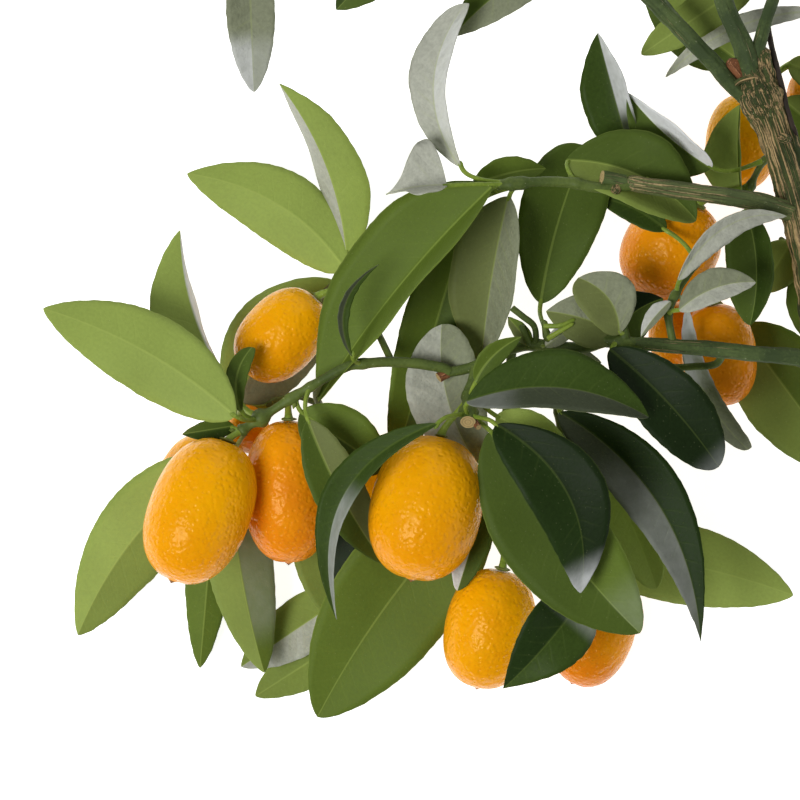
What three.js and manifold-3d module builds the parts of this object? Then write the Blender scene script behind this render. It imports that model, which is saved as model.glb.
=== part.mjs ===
// A fruiting branch cut from a kumquat tree, lying on level ground.
//
// Millimetres, +Z up. The branch lies in the XY plane with its cut foot at the right (+X), its leafy
// tips to the left and its crown towards +Y. The lowest fruits rest on the ground at z = 0.
// Woody limbs and fruits are solids of their own. Each spray is one solid: green twigs with
// their leaves and fruit stalks fused on. Neighbouring solids stay JOINT_GAP apart.

import * as THREE from "three";
import { mergeVertices } from "three/addons/utils/BufferGeometryUtils.js";
import Module from "manifold-3d";

const wasm = await Module();
wasm.setup();

// ---------- driving dimensions ----------

const JOINT_GAP = 0.3; // clear space between neighbouring solids
const LIMB_SIDES = 10;
const TWIG_SIDES = 5;
const LIMB_STEP = 9; // length of limb to one section
const TWIG_STEP = 5;
const STALK_RADIUS = 0.8;
const CALYX_RADIUS = 1.5; // the little cup that holds a fruit
const CALYX_HEIGHT = 1.3;
const CALYX_SIDES = 6;
const PETIOLE_RADIUS = 0.6;
const PETIOLE_SIDES = 4;
const PETIOLE_SUNK = 1; // how far a petiole runs into its blade
const PETIOLE_SLANT = 0.4; // share of its length that a petiole starts further down its twig
const LEAF_THICKNESS = 0.7; // or a 90th of the leaf's length, where that is more
const LEAF_STATIONS = [0.06, 0.18, 0.33, 0.5, 0.68, 0.85];
const LEAF_BASE_POWER = 0.62; // how bluntly the blade opens at its base
const LEAF_TIP_POWER = 0.86; // how sharply it closes at its tip
const ROOT_SAMPLES = 80; // places tried along a twig for the root of a petiole
const DEFAULT_FOLD = 24; // degrees between the two halves of a blade and flat
const FRUIT_SIDES = 12;
const FRUIT_RINGS = 8;
const COLLAR_SWELL = 1.3; // the knobbly collar under the fork of the stem

// ---------- finishes ----------

const finish = (color, roughness) => new THREE.MeshStandardMaterial({ color, roughness, metalness: 0 });
const BARK = finish(0x8a6f52, 0.9);
const GREEN_BARK = finish(0x4f5f33, 0.75);
const LEAF = finish(0x47652c, 0.5);
const PEEL = finish(0xf0a020, 0.35);

// ---------- the plant, limb by limb ----------

// Woody limbs, each one tapering solid. Radii run from the first point to the last. A limb that
// springs from another starts inside it and is cut clear of it.
const LIMBS = [
  {
    name: "main_stem", from: 5.8, to: 4.6, collar: 0.93, finish: BARK,
    path: [
      [109, -26, 34], [108, 0, 35], [104.5, 30, 36], [99, 50, 37],
      [94.5, 64, 37.5], [90.5, 76, 38], [88.5, 83, 38],
    ],
  },
  {
    name: "fork_left", from: 3.1, to: 2.2, finish: GREEN_BARK, springsFrom: ["main_stem"],
    path: [[88.5, 79, 39], [75, 89, 42], [63.75, 100, 43], [54, 109.5, 44]],
  },
  {
    name: "fork_middle", from: 2.7, to: 2.2, finish: GREEN_BARK, springsFrom: ["main_stem", "fork_left"],
    path: [[87.5, 82, 38], [83.75, 93.75, 38], [81.25, 100, 39], [79.5, 110, 40]],
  },
  {
    name: "fork_right", from: 2, to: 1.7, finish: GREEN_BARK, springsFrom: ["main_stem", "fork_middle"],
    path: [[90.2, 81, 37], [92.3, 94, 36], [93.9, 101, 36], [94.4, 103.5, 36.3]],
  },
  {
    name: "upper_bough", from: 2.5, to: 2, finish: GREEN_BARK, springsFrom: ["main_stem"],
    path: [[98.5, 47, 39], [87.5, 50, 44], [75, 51.75, 46], [65, 53, 47], [56, 54.5, 47.5]],
  },
  {
    name: "lower_bough", from: 2.2, to: 1.7, finish: GREEN_BARK, springsFrom: ["main_stem"],
    path: [
      [106.5, 7.5, 37], [100, 10.5, 43], [87.5, 11.75, 45], [75, 13, 46],
      [65, 13.75, 46.5], [57.3, 14.3, 46.5],
    ],
  },
];

// A leaf runs from the foot of its blade to its tip. Seen along that line, roll turns it clockwise,
// bow arches the midrib towards its upper face and sway bends it to its right, both in millimetres.
// A leaf that lies with its pale underside up is turned right over. Slant is that of its petiole.
const leaf = (base, tip, width, pose = {}) => ({ base, tip, width, ...pose });

// Leafy sprays. The first twig is the stem, and the others spring from it.
const SPRAYS = [
  {
    name: "upper_tip_spray",
    springsFrom: ["upper_bough"],
    twigs: [
      {
        from: 1.6, to: 1.1, path: [
          [57.5, 54.4, 47.4], [50, 53, 48], [42.5, 54.25, 48.5],
          [35, 54.5, 49], [29, 54, 49.5], [23.75, 53.5, 50],
        ],
      },
    ],
    leaves: [
      leaf([23, 53, 52], [-18.3, 0, 46.5], 31, { roll: 38, fold: 76, bow: 2 }),
      leaf([17, 46, 37], [-4, -9, 26], 17, { roll: -8, fold: 40 }),
      leaf([27.3, 51, 43], [21.5, 15, 38], 22, { roll: 28, fold: 60, bow: 2 }),
      leaf([18, 53.5, 44], [36.5, 58, 40], 9, { fold: 40, bow: 1, sway: -1 }),
      leaf([15, 58, 53], [16.5, 99, 50], 12.5, { roll: 20, fold: 40, bow: 2, sway: -10 }),
      leaf([14.5, 54, 47], [-3.75, 51, 44], 7, { roll: 40, fold: 60, bow: 2, sway: 2 }),
      leaf([41.5, 60, 43], [74.25, 45, 40], 23, { roll: 8, fold: 30, bow: 2, sway: -4 }),
      leaf([58, 62.5, 37], [49.75, 92.25, 36], 17, { roll: -26, fold: 53, bow: 2, sway: 1 }),
    ],
  },
  {
    name: "cluster_spray",
    springsFrom: ["lower_bough"],
    twigs: [
      { from: 2.3, to: 1.8, path: [[59, 14.2, 46.5], [55, 14.5, 46.4], [50, 15, 46]] },
      { from: 0.9, to: 0.8, path: [[56, 14.6, 46.5], [56.2, 17, 47], [56, 18.8, 47.4]] },
      {
        from: 1.5, to: 1.3, path: [
          [51.5, 14.9, 46.1], [46.5, 13.2, 45.3], [40, 13.25, 44], [32.5, 13.75, 43],
          [25, 11.75, 42], [18, 8.25, 41], [11.25, 6.75, 41],
        ],
      },
      { from: 1, to: 0.8, path: [[38, 13.5, 44], [36.5, 17, 46], [36, 20, 47]] },
      { from: 1.3, to: 1.9, path: [[19, 8, 42], [17.5, 1, 46], [16.9, -5.5, 54]] },
      {
        from: 1.2, to: 0.9, path: [
          [28, 12.5, 42], [27, 0, 36], [26, -12, 33],
          [26, -26, 32], [26.5, -38, 34],
        ],
      },
      {
        from: 1.2, to: 0.9, path: [
          [36, 13.5, 43.5], [38.5, 6, 37], [40, -4, 32],
          [42, -18, 29], [44.5, -34, 29], [47, -44, 28],
        ],
      },
    ],
    leaves: [
      leaf([35.25, 24.25, 36], [45, 60, 32], 22.5, { fold: 30, bow: 2, sway: 1 }),
      leaf([17, -6, 33], [11, 19, 34], 21, { roll: -8, fold: 30, bow: 2, sway: -3 }),
      leaf([18.75, 4.5, 52], [30.25, 15.75, 54], 6.5, { fold: 50, bow: 1, sway: -1.5 }),
      leaf([16.5, -0.5, 60], [61.75, -4.3, 58], 19, { roll: -28, fold: 56, bow: 4, sway: -4 }),
      leaf([24, -6, 60], [45, -48, 54], 19, { fold: 30, bow: 4, sway: -7 }),
      leaf([22.5, -7.5, 50], [60, -58.25, 46], 28, { fold: 30, bow: 3, sway: 2 }),
      leaf([52.25, 12.75, 51], [79.5, -16.7, 50], 17, { fold: 36, bow: 3, sway: -1.5 }),
      leaf([52, 14, 40], [66, 25.5, 38], 13, { fold: 30, bow: 1, sway: -2 }),
      leaf([40, -3, 40], [74.5, -60.75, 42], 17.5, { fold: 40, bow: 4, sway: -9 }),
      leaf([42.5, -5, 34], [64.5, -47.5, 32], 15, { fold: 30, bow: 2, sway: -2 }),
      leaf([30, -4, 46], [43, -13, 40], 9, { fold: 40, bow: 1 }),
      leaf([9.25, -5.75, 62], [-15.75, -54.5, 58], 10, { roll: -20, fold: 50, bow: 4, sway: 12 }),
      leaf([21.75, -22.5, 26], [-20.75, -80.75, 13], 28, { roll: -8, bow: 1, sway: -1 }),
      leaf([24.5, -34.5, 39], [20, -38.8, 42], 6, { fold: 40, bow: 1 }),
      leaf([46.5, -48, 41], [25.75, -72.25, 42.5], 19, { roll: -10, fold: 26, bow: 5 }),
      leaf([45, -38, 20], [99.75, -49.5, 16], 21, { bow: 2, sway: 2, under: true }),
      leaf([55.2, 19.2, 46.8], [36, 20.5, 46], 17, { fold: 40, bow: 1, sway: 3 }),
      leaf([56.6, 19.4, 48.3], [52, 32.5, 50], 9.5, { roll: -10, fold: 30, bow: 2, sway: 1 }),
    ],
  },
  {
    name: "lower_left_spray",
    twigs: [
      {
        from: 1.4, to: 1, path: [
          [9.5, 8.5, 42], [0, 9.5, 43], [-10, 9, 44], [-15, 7.5, 44],
          [-25, 1.75, 43], [-33.75, -3.75, 42], [-40.5, -8.25, 42],
        ],
      },
      { from: 0.9, to: 0.7, path: [[-2, 9.5, 43], [-7, 20, 36], [-12, 31, 30]] },
      {
        from: 1, to: 0.7, path: [
          [-20, 4.8, 43], [-21, 1, 33], [-19, -4, 22],
          [-15, -14, 13], [-13, -30, 9], [-9, -45, 8],
        ],
      },
      { from: 0.8, to: 0.7, path: [[-20, -1, 27], [-28, 1, 20], [-35.5, -3, 16]] },
    ],
    leaves: [
      leaf([-41, -4, 52], [-88.75, 22.75, 56], 23.5, { fold: 20, bow: 3, sway: -3, under: true }),
      leaf([-40.5, 0, 38], [-55.5, 42.75, 30], 17, { roll: 20, fold: 45, bow: 2, sway: 6, under: true }),
      leaf([-24, 3, 25], [-40, 25.5, 12], 21, { fold: 20, bow: 1, sway: 3, under: true }),
      leaf([-40, -3, 46], [-36.75, 12.75, 42], 5.5, { fold: 40, bow: 1 }),
      leaf([-41.25, -10, 30], [-81.5, -59.5, 20], 23, { fold: 20, bow: 2, sway: -5, under: true }),
      leaf([-46, -14, 27], [-50.5, -68.75, 5], 13, { fold: 40, bow: 2, under: true }),
      leaf([-43, -12, 28], [-34.5, -69.25, 13], 19, { fold: 50, bow: 2, sway: -2, under: true }),
      leaf([-23, -5, 50], [-4, -41, 38], 12, { fold: 30, bow: 2, sway: 5 }),
      leaf([-22, 0, 42], [0, -17, 37], 17, { fold: 26, bow: 2 }),
      leaf([-20, -8, 19], [-13.25, -58.75, 16], 18, { fold: 26, sway: 3 }),
      leaf([-13.5, 9.3, 56.5], [-5.25, 33.75, 61], 9, { roll: 80, fold: 40, sway: -4, slant: -1.15 }),
      leaf([-11, -48, 9], [-40.5, -68, 6], 15, { fold: 26, bow: 1, under: true }),
      leaf([-11, -59, 5], [-36.9, -75.6, 3], 13, { bow: 1, under: true }),
      leaf([-13.75, 33, 26], [-53.75, 56, 20], 18.5, { fold: 20, bow: 2, sway: -4.5, under: true }),
      leaf([-13.25, 35.5, 32], [-30.25, 79.5, 34], 13, { roll: -20, fold: 50, bow: 2, sway: -6, under: true }),
    ],
  },
  {
    name: "rear_right_spray",
    springsFrom: ["lower_bough"],
    twigs: [
      {
        from: 0.95, to: 0.7, path: [
          [81, 12, 44.5], [79, 9, 42.2], [74, 8.4, 41.3], [68, 8.25, 40], [62, 10, 34],
          [60.5, 17, 27], [64.5, 24, 20], [72, 27, 13], [81, 28, 12],
        ],
      },
    ],
    leaves: [
      leaf([86, 19, 14], [115, -20, 9], 25, { fold: 20, bow: 1 }),
      leaf([60, 21, 17], [34, 34, 8], 17, { bow: 1, under: true }),
    ],
  },
  {
    name: "middle_right_spray",
    springsFrom: ["lower_bough"],
    twigs: [
      {
        from: 1, to: 0.7, path: [
          [68.3, 13.6, 46.3], [67, 21.25, 47.5], [68, 25, 48],
          [69.25, 30, 48.5], [72.5, 34.5, 49], [78.75, 40, 50],
        ],
      },
    ],
    leaves: [
      leaf([69.3, 30, 54], [96, 46, 55], 11, { roll: 30, fold: 50, bow: 2, sway: -3 }),
      leaf([69, 23.5, 50], [88.75, 29.75, 50], 8.5, { roll: -20, fold: 50, bow: 2, sway: -1.5 }),
      leaf([67.5, 24.5, 50], [60, 15.75, 53], 5, { roll: 30, fold: 60, bow: 1 }),
      leaf([66.75, 42.5, 40], [49, 51, 34], 10),
      leaf([72, 23.5, 38], [87.5, -12.5, 36], 11, { fold: 50, sway: 1 }),
    ],
  },
  {
    name: "stem_right_spray",
    springsFrom: ["main_stem"],
    twigs: [
      { from: 0.9, to: 0.7, path: [[94.5, 63, 36], [91.5, 60, 31], [89, 55.5, 29], [87, 50, 28]] },
    ],
    leaves: [
      leaf([78.25, 58.3, 38], [57, 77, 36], 17, { roll: -35, fold: 70, bow: 1, sway: -1 }),
      leaf([86.25, 50, 27], [85.75, 74.5, 27], 18, { roll: -45, fold: 90, bow: 1 }),
      leaf([87, 48, 36], [88, 18.75, 36], 16, { roll: 30, fold: 60, bow: 1, sway: -3 }),
    ],
  },
  {
    name: "stem_low_spray",
    springsFrom: ["main_stem"],
    twigs: [
      { from: 0.9, to: 0.7, path: [[103.2, 35, 34], [100.5, 37.5, 25], [96, 41, 20]] },
    ],
    leaves: [
      leaf([99, 40, 23], [91, 27, 21], 12, { fold: 30, bow: 1 }),
      leaf([100, 32, 23], [111, 10, 20], 13, { bow: 1 }),
    ],
  },
  {
    name: "rear_top_spray",
    springsFrom: ["main_stem"],
    twigs: [
      { from: 0.9, to: 0.7, path: [[92.3, 70, 36], [93.5, 76, 25], [91, 83, 16.5]] },
    ],
    leaves: [
      leaf([98, 85, 24], [122, 76, 26], 11, { fold: 30, bow: 1 }),
      leaf([97, 76, 20], [118, 58, 16], 14, { bow: 1 }),
      leaf([86, 86, 16], [62, 104, 8], 17, { bow: 1, under: true }),
    ],
  },
  {
    name: "crown_right_spray",
    springsFrom: ["fork_right"],
    twigs: [
      { from: 1.4, to: 0.8, path: [[94.2, 102, 36.2], [95.4, 108, 37], [98, 117, 37], [101, 124, 37]] },
      { from: 0.8, to: 0.7, path: [[97.3, 115, 37], [102.5, 110.5, 34], [107.5, 104, 32]] },
    ],
    leaves: [
      leaf([92, 108, 31], [60.75, 86, 30], 14, { bow: 2 }),
      leaf([106, 98, 29], [67, 81.5, 25], 9, { fold: 50, bow: 2, sway: 4.5 }),
      leaf([104, 128, 38], [122, 150, 42], 15, { fold: 26, bow: 2 }),
      leaf([99, 128, 37], [84, 156, 38], 16, { fold: 26, bow: 2, sway: 2 }),
      leaf([110, 107, 34], [134, 112, 36], 14, { fold: 26, bow: 2 }),
    ],
  },
  {
    name: "crown_spray",
    springsFrom: ["fork_left"],
    twigs: [
      {
        from: 2, to: 1, path: [
          [56, 107.5, 43.8], [40, 114, 46], [15, 118, 47],
          [-15, 120, 46], [-36, 119, 44],
        ],
      },
    ],
    leaves: [
      leaf([41, 111, 46], [13.25, 91, 42], 14, { fold: 50, bow: 2, sway: 2 }),
      leaf([-38, 116, 46], [-36.5, 77, 44], 13, { fold: 40, bow: 2 }),
      leaf([28, 118, 48], [44, 150, 50], 17, { fold: 26, bow: 2, sway: -2 }),
      leaf([4, 121, 49], [10, 153, 47], 16, { fold: 26, bow: 2, sway: 2 }),
      leaf([-18, 122, 48], [-40, 148, 44], 17, { fold: 26, bow: 2, sway: 1 }),
      leaf([-40, 121, 44], [-66, 112, 40], 15, { fold: 26, bow: 2, under: true }),
      leaf([2, 117, 42], [-16, 98, 36], 14, { fold: 26, bow: 1 }),
    ],
  },
];

// Fruits: an oval, longer than wide, whose axis points to its stalk.
const FRUITS = [
  { spray: "lower_left_spray", centre: [-50, -27.75, 46], axis: [0.36, 0.9, 0.05], length: 37.5, width: 25.5 },
  { spray: "lower_left_spray", centre: [-28, -23, 34], axis: [0, 1, 0.1], length: 36, width: 22.5 },
  { spray: "lower_left_spray", centre: [-30.3, 16.7, 29], axis: [0.45, 0.85, 0.1], length: 27, width: 19 },
  { spray: "lower_left_spray", centre: [-50, -17, 9.8], axis: [0.6, 0.8, 0.15], length: 25, width: 19.5 },
  { spray: "lower_left_spray", centre: [-37.3, -6, 24], axis: [-0.2, 0.5, 0.8], length: 17, width: 13 },
  { spray: "cluster_spray", centre: [6.5, -27, 46], axis: [0.2, 0.95, 0.2], length: 36.5, width: 28 },
  { spray: "cluster_spray", centre: [22.5, -57.5, 34], axis: [0.2, 0.95, 0.1], length: 30.5, width: 22.5 },
  { spray: "cluster_spray", centre: [50, -62.5, 10.8], axis: [-0.1, 0.75, 0.5], length: 26, width: 19.5 },
  { spray: "stem_right_spray", centre: [68.25, 38, 25.5], axis: [0.5, 0.8, 0.3], length: 27, width: 24 },
  { spray: "rear_right_spray", centre: [80.5, 11.3, 25.5], axis: [-0.1, 0.95, 0.1], length: 26, width: 19 },
  { spray: "rear_right_spray", centre: [72.5, 13, 8.6], axis: [-0.3, 0.9, 0.1], length: 25, width: 17 },
  { spray: "rear_top_spray", centre: [85, 66.25, 8.8], axis: [0.1, 0.95, 0.1], length: 24.5, width: 17.5 },
  { spray: "rear_top_spray", centre: [105.5, 77, 10], axis: [-0.5, 0.8, 0.1], length: 25, width: 19 },
  { spray: "lower_left_spray", centre: [-0.5, -24, 9.8], axis: [-0.65, 0.68, 0.2], length: 25, width: 19 },
];

// ---------- small helpers ----------

const UP = new THREE.Vector3(0, 0, 1);
const SIDEWAYS = new THREE.Vector3(1, 0, 0);
const vector = (point) => new THREE.Vector3(...point);
const radians = THREE.MathUtils.degToRad;
const curveThrough = (path) => new THREE.CatmullRomCurve3(path.map(vector), false, "catmullrom", 0.5);

// A closed mesh from a list of rings of equal count, with a flat fan over each end. A ring of one
// point is an apex. Rings run so that the faces point out.
function loft(rings) {
  const corners = [];
  const faces = [];
  const starts = rings.map((ring) => {
    corners.push(...ring);
    return corners.length - ring.length;
  });
  const sides = Math.max(...rings.map((ring) => ring.length));
  for (let i = 0; i < rings.length - 1; i += 1) {
    for (let k = 0; k < sides; k += 1) {
      const next = (k + 1) % sides;
      const low = rings[i].length === 1 ? [starts[i]] : [starts[i] + k, starts[i] + next];
      const high = rings[i + 1].length === 1 ? [starts[i + 1]] : [starts[i + 1] + k, starts[i + 1] + next];
      if (low.length === 2) faces.push([low[0], low[1], high[high.length - 1]]);
      if (high.length === 2) faces.push([low[0], high[1], high[0]]);
    }
  }
  const last = rings.length - 1;
  for (let k = 1; k < sides - 1; k += 1) {
    if (rings[0].length > 1) faces.push([starts[0], starts[0] + k + 1, starts[0] + k]);
    if (rings[last].length > 1) faces.push([starts[last], starts[last] + k, starts[last] + k + 1]);
  }
  const geometry = new THREE.BufferGeometry().setFromPoints(corners);
  geometry.setIndex(faces.flat());
  return geometry;
}

// A round ring of points about a centre, in the plane of two directions.
function roundRing(centre, across, over, radius, sides) {
  return Array.from({ length: sides }, (_, k) => {
    const angle = (2 * Math.PI * k) / sides;
    return centre.clone()
      .addScaledVector(across, radius * Math.cos(angle))
      .addScaledVector(over, radius * Math.sin(angle));
  });
}

// How many straight stretches a limb is made of.
const sectionsOf = (curve, step) => Math.max(2, Math.round(curve.getLength() / step));

// A limb that tapers evenly along its path, with a swollen collar where one is named. A margin
// makes it larger all round, as a cutter for what has to keep clear of it.
function taperedLimb({ path, from, to, collar }, sides, step, margin = 0) {
  const curve = curveThrough(path);
  const sections = sectionsOf(curve, step);
  const frames = curve.computeFrenetFrames(sections, false);
  const rings = frames.tangents.map((_, i) => {
    const along = i / sections;
    const swell = collar ? COLLAR_SWELL * Math.exp(-(((along - collar) / 0.06) ** 2)) : 0;
    const radius = from + (to - from) * along + swell + margin;
    const outward = along === 0 ? -margin : along === 1 ? margin : 0;
    const centre = curve.getPointAt(along).addScaledVector(frames.tangents[i], outward);
    return roundRing(centre, frames.normals[i], frames.binormals[i], radius, sides);
  });
  return loft(rings);
}

// A straight rod between two points.
function rod(start, end, startRadius, endRadius, sides) {
  const along = end.clone().sub(start).normalize();
  const across = new THREE.Vector3().crossVectors(along, Math.abs(along.z) < 0.9 ? UP : SIDEWAYS).normalize();
  const over = along.clone().cross(across);
  return loft([
    roundRing(start, across, over, startRadius, sides),
    roundRing(end, across, over, endRadius, sides),
  ]);
}

// ---------- leaves ----------

const widestAt = LEAF_BASE_POWER / (LEAF_BASE_POWER + LEAF_TIP_POWER);
const bladeShape = (t) => t ** LEAF_BASE_POWER * (1 - t) ** LEAF_TIP_POWER;
const halfWidthShare = (t) => bladeShape(t) / bladeShape(widestAt);

// The place and directions of a leaf's midrib: point, right-hand side and upper side.
function midrib(record, t) {
  const base = vector(record.base);
  const along = vector(record.tip).sub(base);
  const right = along.clone().cross(UP).normalize();
  const above = right.clone().cross(along).normalize();
  const roll = radians((record.roll ?? 0) + (record.under ? 180 : 0));
  const side = right.clone().multiplyScalar(Math.cos(roll)).addScaledVector(above, -Math.sin(roll));
  const normal = above.clone().multiplyScalar(Math.cos(roll)).addScaledVector(right, Math.sin(roll));
  const arch = 4 * t * (1 - t);
  const point = base.addScaledVector(along, t)
    .addScaledVector(normal, (record.bow ?? 0) * arch)
    .addScaledVector(side, (record.sway ?? 0) * arch);
  return { point, side, normal };
}

// Four corners of a folded blade: right rim, underside of the midrib, left rim, top of the midrib.
function bladeRing({ point, side, normal }, halfWidth, thickness, fold) {
  const out = halfWidth * Math.cos(fold);
  const up = halfWidth * Math.sin(fold);
  return [
    point.clone().addScaledVector(side, out).addScaledVector(normal, up),
    point.clone().addScaledVector(normal, -thickness / 2),
    point.clone().addScaledVector(side, -out).addScaledVector(normal, up),
    point.clone().addScaledVector(normal, thickness / 2),
  ];
}

// One leaf: its petiole, which starts inside a twig, and its blade.
function leafBodies(record, lines) {
  const fold = radians((record.fold ?? DEFAULT_FOLD) / 2);
  const along = vector(record.tip).sub(vector(record.base));
  const thickness = Math.max(LEAF_THICKNESS, along.length() / 90);
  const foot = midrib(record, 0);
  const rings = [bladeRing(foot, PETIOLE_RADIUS, thickness, 0)];
  for (const t of LEAF_STATIONS) {
    rings.push(bladeRing(midrib(record, t), (record.width / 2) * halfWidthShare(t), thickness, fold));
  }
  rings.push([vector(record.tip)]);
  const held = foot.point.clone().addScaledVector(along.normalize(), PETIOLE_SUNK);
  const root = rootOnTwigs(lines, foot.point, record.slant);
  return [rod(root, held, PETIOLE_RADIUS, PETIOLE_RADIUS, PETIOLE_SIDES), loft(rings)];
}

// ---------- twigs ----------

// The centre line of a twig as it is built: straight from section to section.
function centreLine(path) {
  const curve = curveThrough(path);
  const corners = curve.getSpacedPoints(sectionsOf(curve, TWIG_STEP));
  const line = new THREE.CurvePath();
  for (let i = 1; i < corners.length; i += 1) line.add(new THREE.LineCurve3(corners[i - 1], corners[i]));
  return line;
}

// Where a stalk or petiole springs from: the nearest place on the twigs, then lower down by the
// slant, as a share of the distance. A negative slant is higher up.
function rootOnTwigs(lines, end, slant = PETIOLE_SLANT) {
  let best = { distance: Infinity };
  for (const line of lines) {
    for (let i = 0; i <= ROOT_SAMPLES; i += 1) {
      const distance = line.getPoint(i / ROOT_SAMPLES).distanceTo(end);
      if (distance < best.distance) best = { distance, line, along: i / ROOT_SAMPLES };
    }
  }
  const back = (slant * best.distance) / best.line.getLength();
  return best.line.getPoint(THREE.MathUtils.clamp(best.along - back, 0, 1));
}

// The place on a fruit where its calyx sits.
function fruitTop(fruit, clearance) {
  const axis = vector(fruit.axis).normalize();
  return { axis, point: vector(fruit.centre).addScaledVector(axis, fruit.length / 2 + clearance) };
}

// A fruit's stalk and the calyx at its end, just clear of the peel.
function fruitStalk(fruit, lines) {
  const { axis, point } = fruitTop(fruit, JOINT_GAP);
  const neck = point.clone().addScaledVector(axis, CALYX_HEIGHT);
  const middle = point.clone().addScaledVector(axis, CALYX_HEIGHT / 2);
  return [
    rod(rootOnTwigs(lines, neck), middle, STALK_RADIUS, STALK_RADIUS, TWIG_SIDES),
    rod(neck, point, STALK_RADIUS, CALYX_RADIUS, CALYX_SIDES),
  ];
}

// ---------- joining with manifold-3d ----------

// Shared vertices only, with the slivers at poles dropped.
function weld(geometry) {
  const bare = geometry.clone();
  bare.deleteAttribute("normal");
  bare.deleteAttribute("uv");
  const welded = mergeVertices(bare, 1e-4);
  const index = Array.from(welded.index.array);
  const kept = [];
  for (let i = 0; i < index.length; i += 3) {
    const [a, b, c] = index.slice(i, i + 3);
    if (a !== b && b !== c && c !== a) kept.push(a, b, c);
  }
  welded.setIndex(kept);
  return welded;
}

function toSolid(geometry) {
  const welded = weld(geometry);
  return new wasm.Manifold(new wasm.Mesh({
    numProp: 3,
    vertProperties: new Float32Array(welded.attributes.position.array),
    triVerts: new Uint32Array(welded.index.array),
  }));
}

function toGeometry(solid) {
  const mesh = solid.getMesh();
  const geometry = new THREE.BufferGeometry();
  geometry.setAttribute("position", new THREE.BufferAttribute(mesh.vertProperties, 3));
  geometry.setIndex(new THREE.BufferAttribute(mesh.triVerts, 1));
  return geometry;
}

// One body from many, cut clear of the limbs that carry it. Specks of space that the joins seal
// inside it are filled, and crumbs that a cut leaves behind are dropped.
function fuse(geometries, cutters = []) {
  const whole = geometries.map(toSolid).reduce((sum, next) => sum.add(next));
  const clear = cutters.map(toSolid).reduce((rest, cutter) => rest.subtract(cutter), whole);
  const [body] = clear.decompose().sort((a, b) => b.volume() - a.volume());
  return toGeometry(body);
}

// The limbs that a piece springs from, each larger by the joint gap.
function cuttersFor(names = []) {
  return LIMBS.filter((limb) => names.includes(limb.name))
    .map((limb) => taperedLimb(limb, LIMB_SIDES, LIMB_STEP, JOINT_GAP));
}

// ---------- the pieces ----------

function limbGeometry(limb) {
  return fuse([taperedLimb(limb, LIMB_SIDES, LIMB_STEP)], cuttersFor(limb.springsFrom));
}

function sprayGeometry(spray) {
  const lines = spray.twigs.map((twig) => centreLine(twig.path));
  const twigs = spray.twigs.map((twig) => taperedLimb(twig, TWIG_SIDES, TWIG_STEP));
  const leaves = spray.leaves.flatMap((record) => leafBodies(record, lines));
  const stalks = FRUITS.filter((fruit) => fruit.spray === spray.name)
    .flatMap((fruit) => fruitStalk(fruit, lines));
  return fuse([...twigs, ...leaves, ...stalks], cuttersFor(spray.springsFrom));
}

function fruitGeometry(fruit) {
  const profile = Array.from({ length: FRUIT_RINGS + 1 }, (_, i) => {
    const angle = (Math.PI * i) / FRUIT_RINGS;
    return new THREE.Vector2((fruit.width / 2) * Math.sin(angle), (-fruit.length / 2) * Math.cos(angle));
  });
  profile[0].x = 0;
  profile[FRUIT_RINGS].x = 0;
  return weld(new THREE.LatheGeometry(profile, FRUIT_SIDES));
}

function namedMesh(name, geometry, material) {
  const mesh = new THREE.Mesh(geometry, material);
  mesh.name = name;
  return mesh;
}

function buildFruit(fruit, index) {
  const mesh = namedMesh(`fruit_${String(index + 1).padStart(2, "0")}`, fruitGeometry(fruit), PEEL);
  mesh.position.set(...fruit.centre);
  mesh.quaternion.setFromUnitVectors(new THREE.Vector3(0, 1, 0), vector(fruit.axis).normalize());
  return mesh;
}

// ---------- assembly ----------

const branch = new THREE.Group();
for (const limb of LIMBS) {
  branch.add(namedMesh(limb.name, limbGeometry(limb), limb.finish));
}
for (const spray of SPRAYS) {
  branch.add(namedMesh(spray.name, sprayGeometry(spray), LEAF));
}
branch.add(...FRUITS.map(buildFruit));

// The origin is on the ground under the middle of the branch.
branch.updateMatrixWorld(true);
const bounds = new THREE.Box3().setFromObject(branch, true);
const middle = bounds.getCenter(new THREE.Vector3());
branch.position.set(-middle.x, -middle.y, -bounds.min.z);
branch.updateMatrixWorld(true);

export default branch;
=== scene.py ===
"""A cut kumquat branch lying on a pale floor: bark, leaves, stalks and fruits.

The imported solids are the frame. The rows of limbs, leaves and fruits, and the paths and radii made
from them, are in millimetres, in a layout that is laid over the frame by one of its fruits. Finishes,
reliefs, Geometry Nodes and the studio are in metres.
"""

from __future__ import annotations

import logging
import math
import sys
from dataclasses import dataclass, field
from enum import Enum
from typing import Any, Sequence, Union

import bpy
import numpy as np
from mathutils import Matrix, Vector

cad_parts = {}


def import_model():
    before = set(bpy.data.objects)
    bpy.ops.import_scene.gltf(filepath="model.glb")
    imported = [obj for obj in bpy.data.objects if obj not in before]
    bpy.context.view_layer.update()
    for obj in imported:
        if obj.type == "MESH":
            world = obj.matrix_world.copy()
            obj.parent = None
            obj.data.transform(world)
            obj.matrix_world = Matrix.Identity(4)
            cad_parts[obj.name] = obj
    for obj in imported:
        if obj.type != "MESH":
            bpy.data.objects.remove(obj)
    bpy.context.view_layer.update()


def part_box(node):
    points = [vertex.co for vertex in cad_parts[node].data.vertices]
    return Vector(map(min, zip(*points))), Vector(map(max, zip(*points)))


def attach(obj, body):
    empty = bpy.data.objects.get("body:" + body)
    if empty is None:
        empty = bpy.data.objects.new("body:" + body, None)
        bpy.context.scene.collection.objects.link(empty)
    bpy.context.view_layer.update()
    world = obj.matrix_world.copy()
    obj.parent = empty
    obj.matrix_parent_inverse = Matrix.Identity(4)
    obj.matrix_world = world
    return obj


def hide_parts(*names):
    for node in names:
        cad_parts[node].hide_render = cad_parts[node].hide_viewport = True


LOG = logging.getLogger("kumquat_branch")
MM = 0.001
ROOT_BODY = "root"
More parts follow.
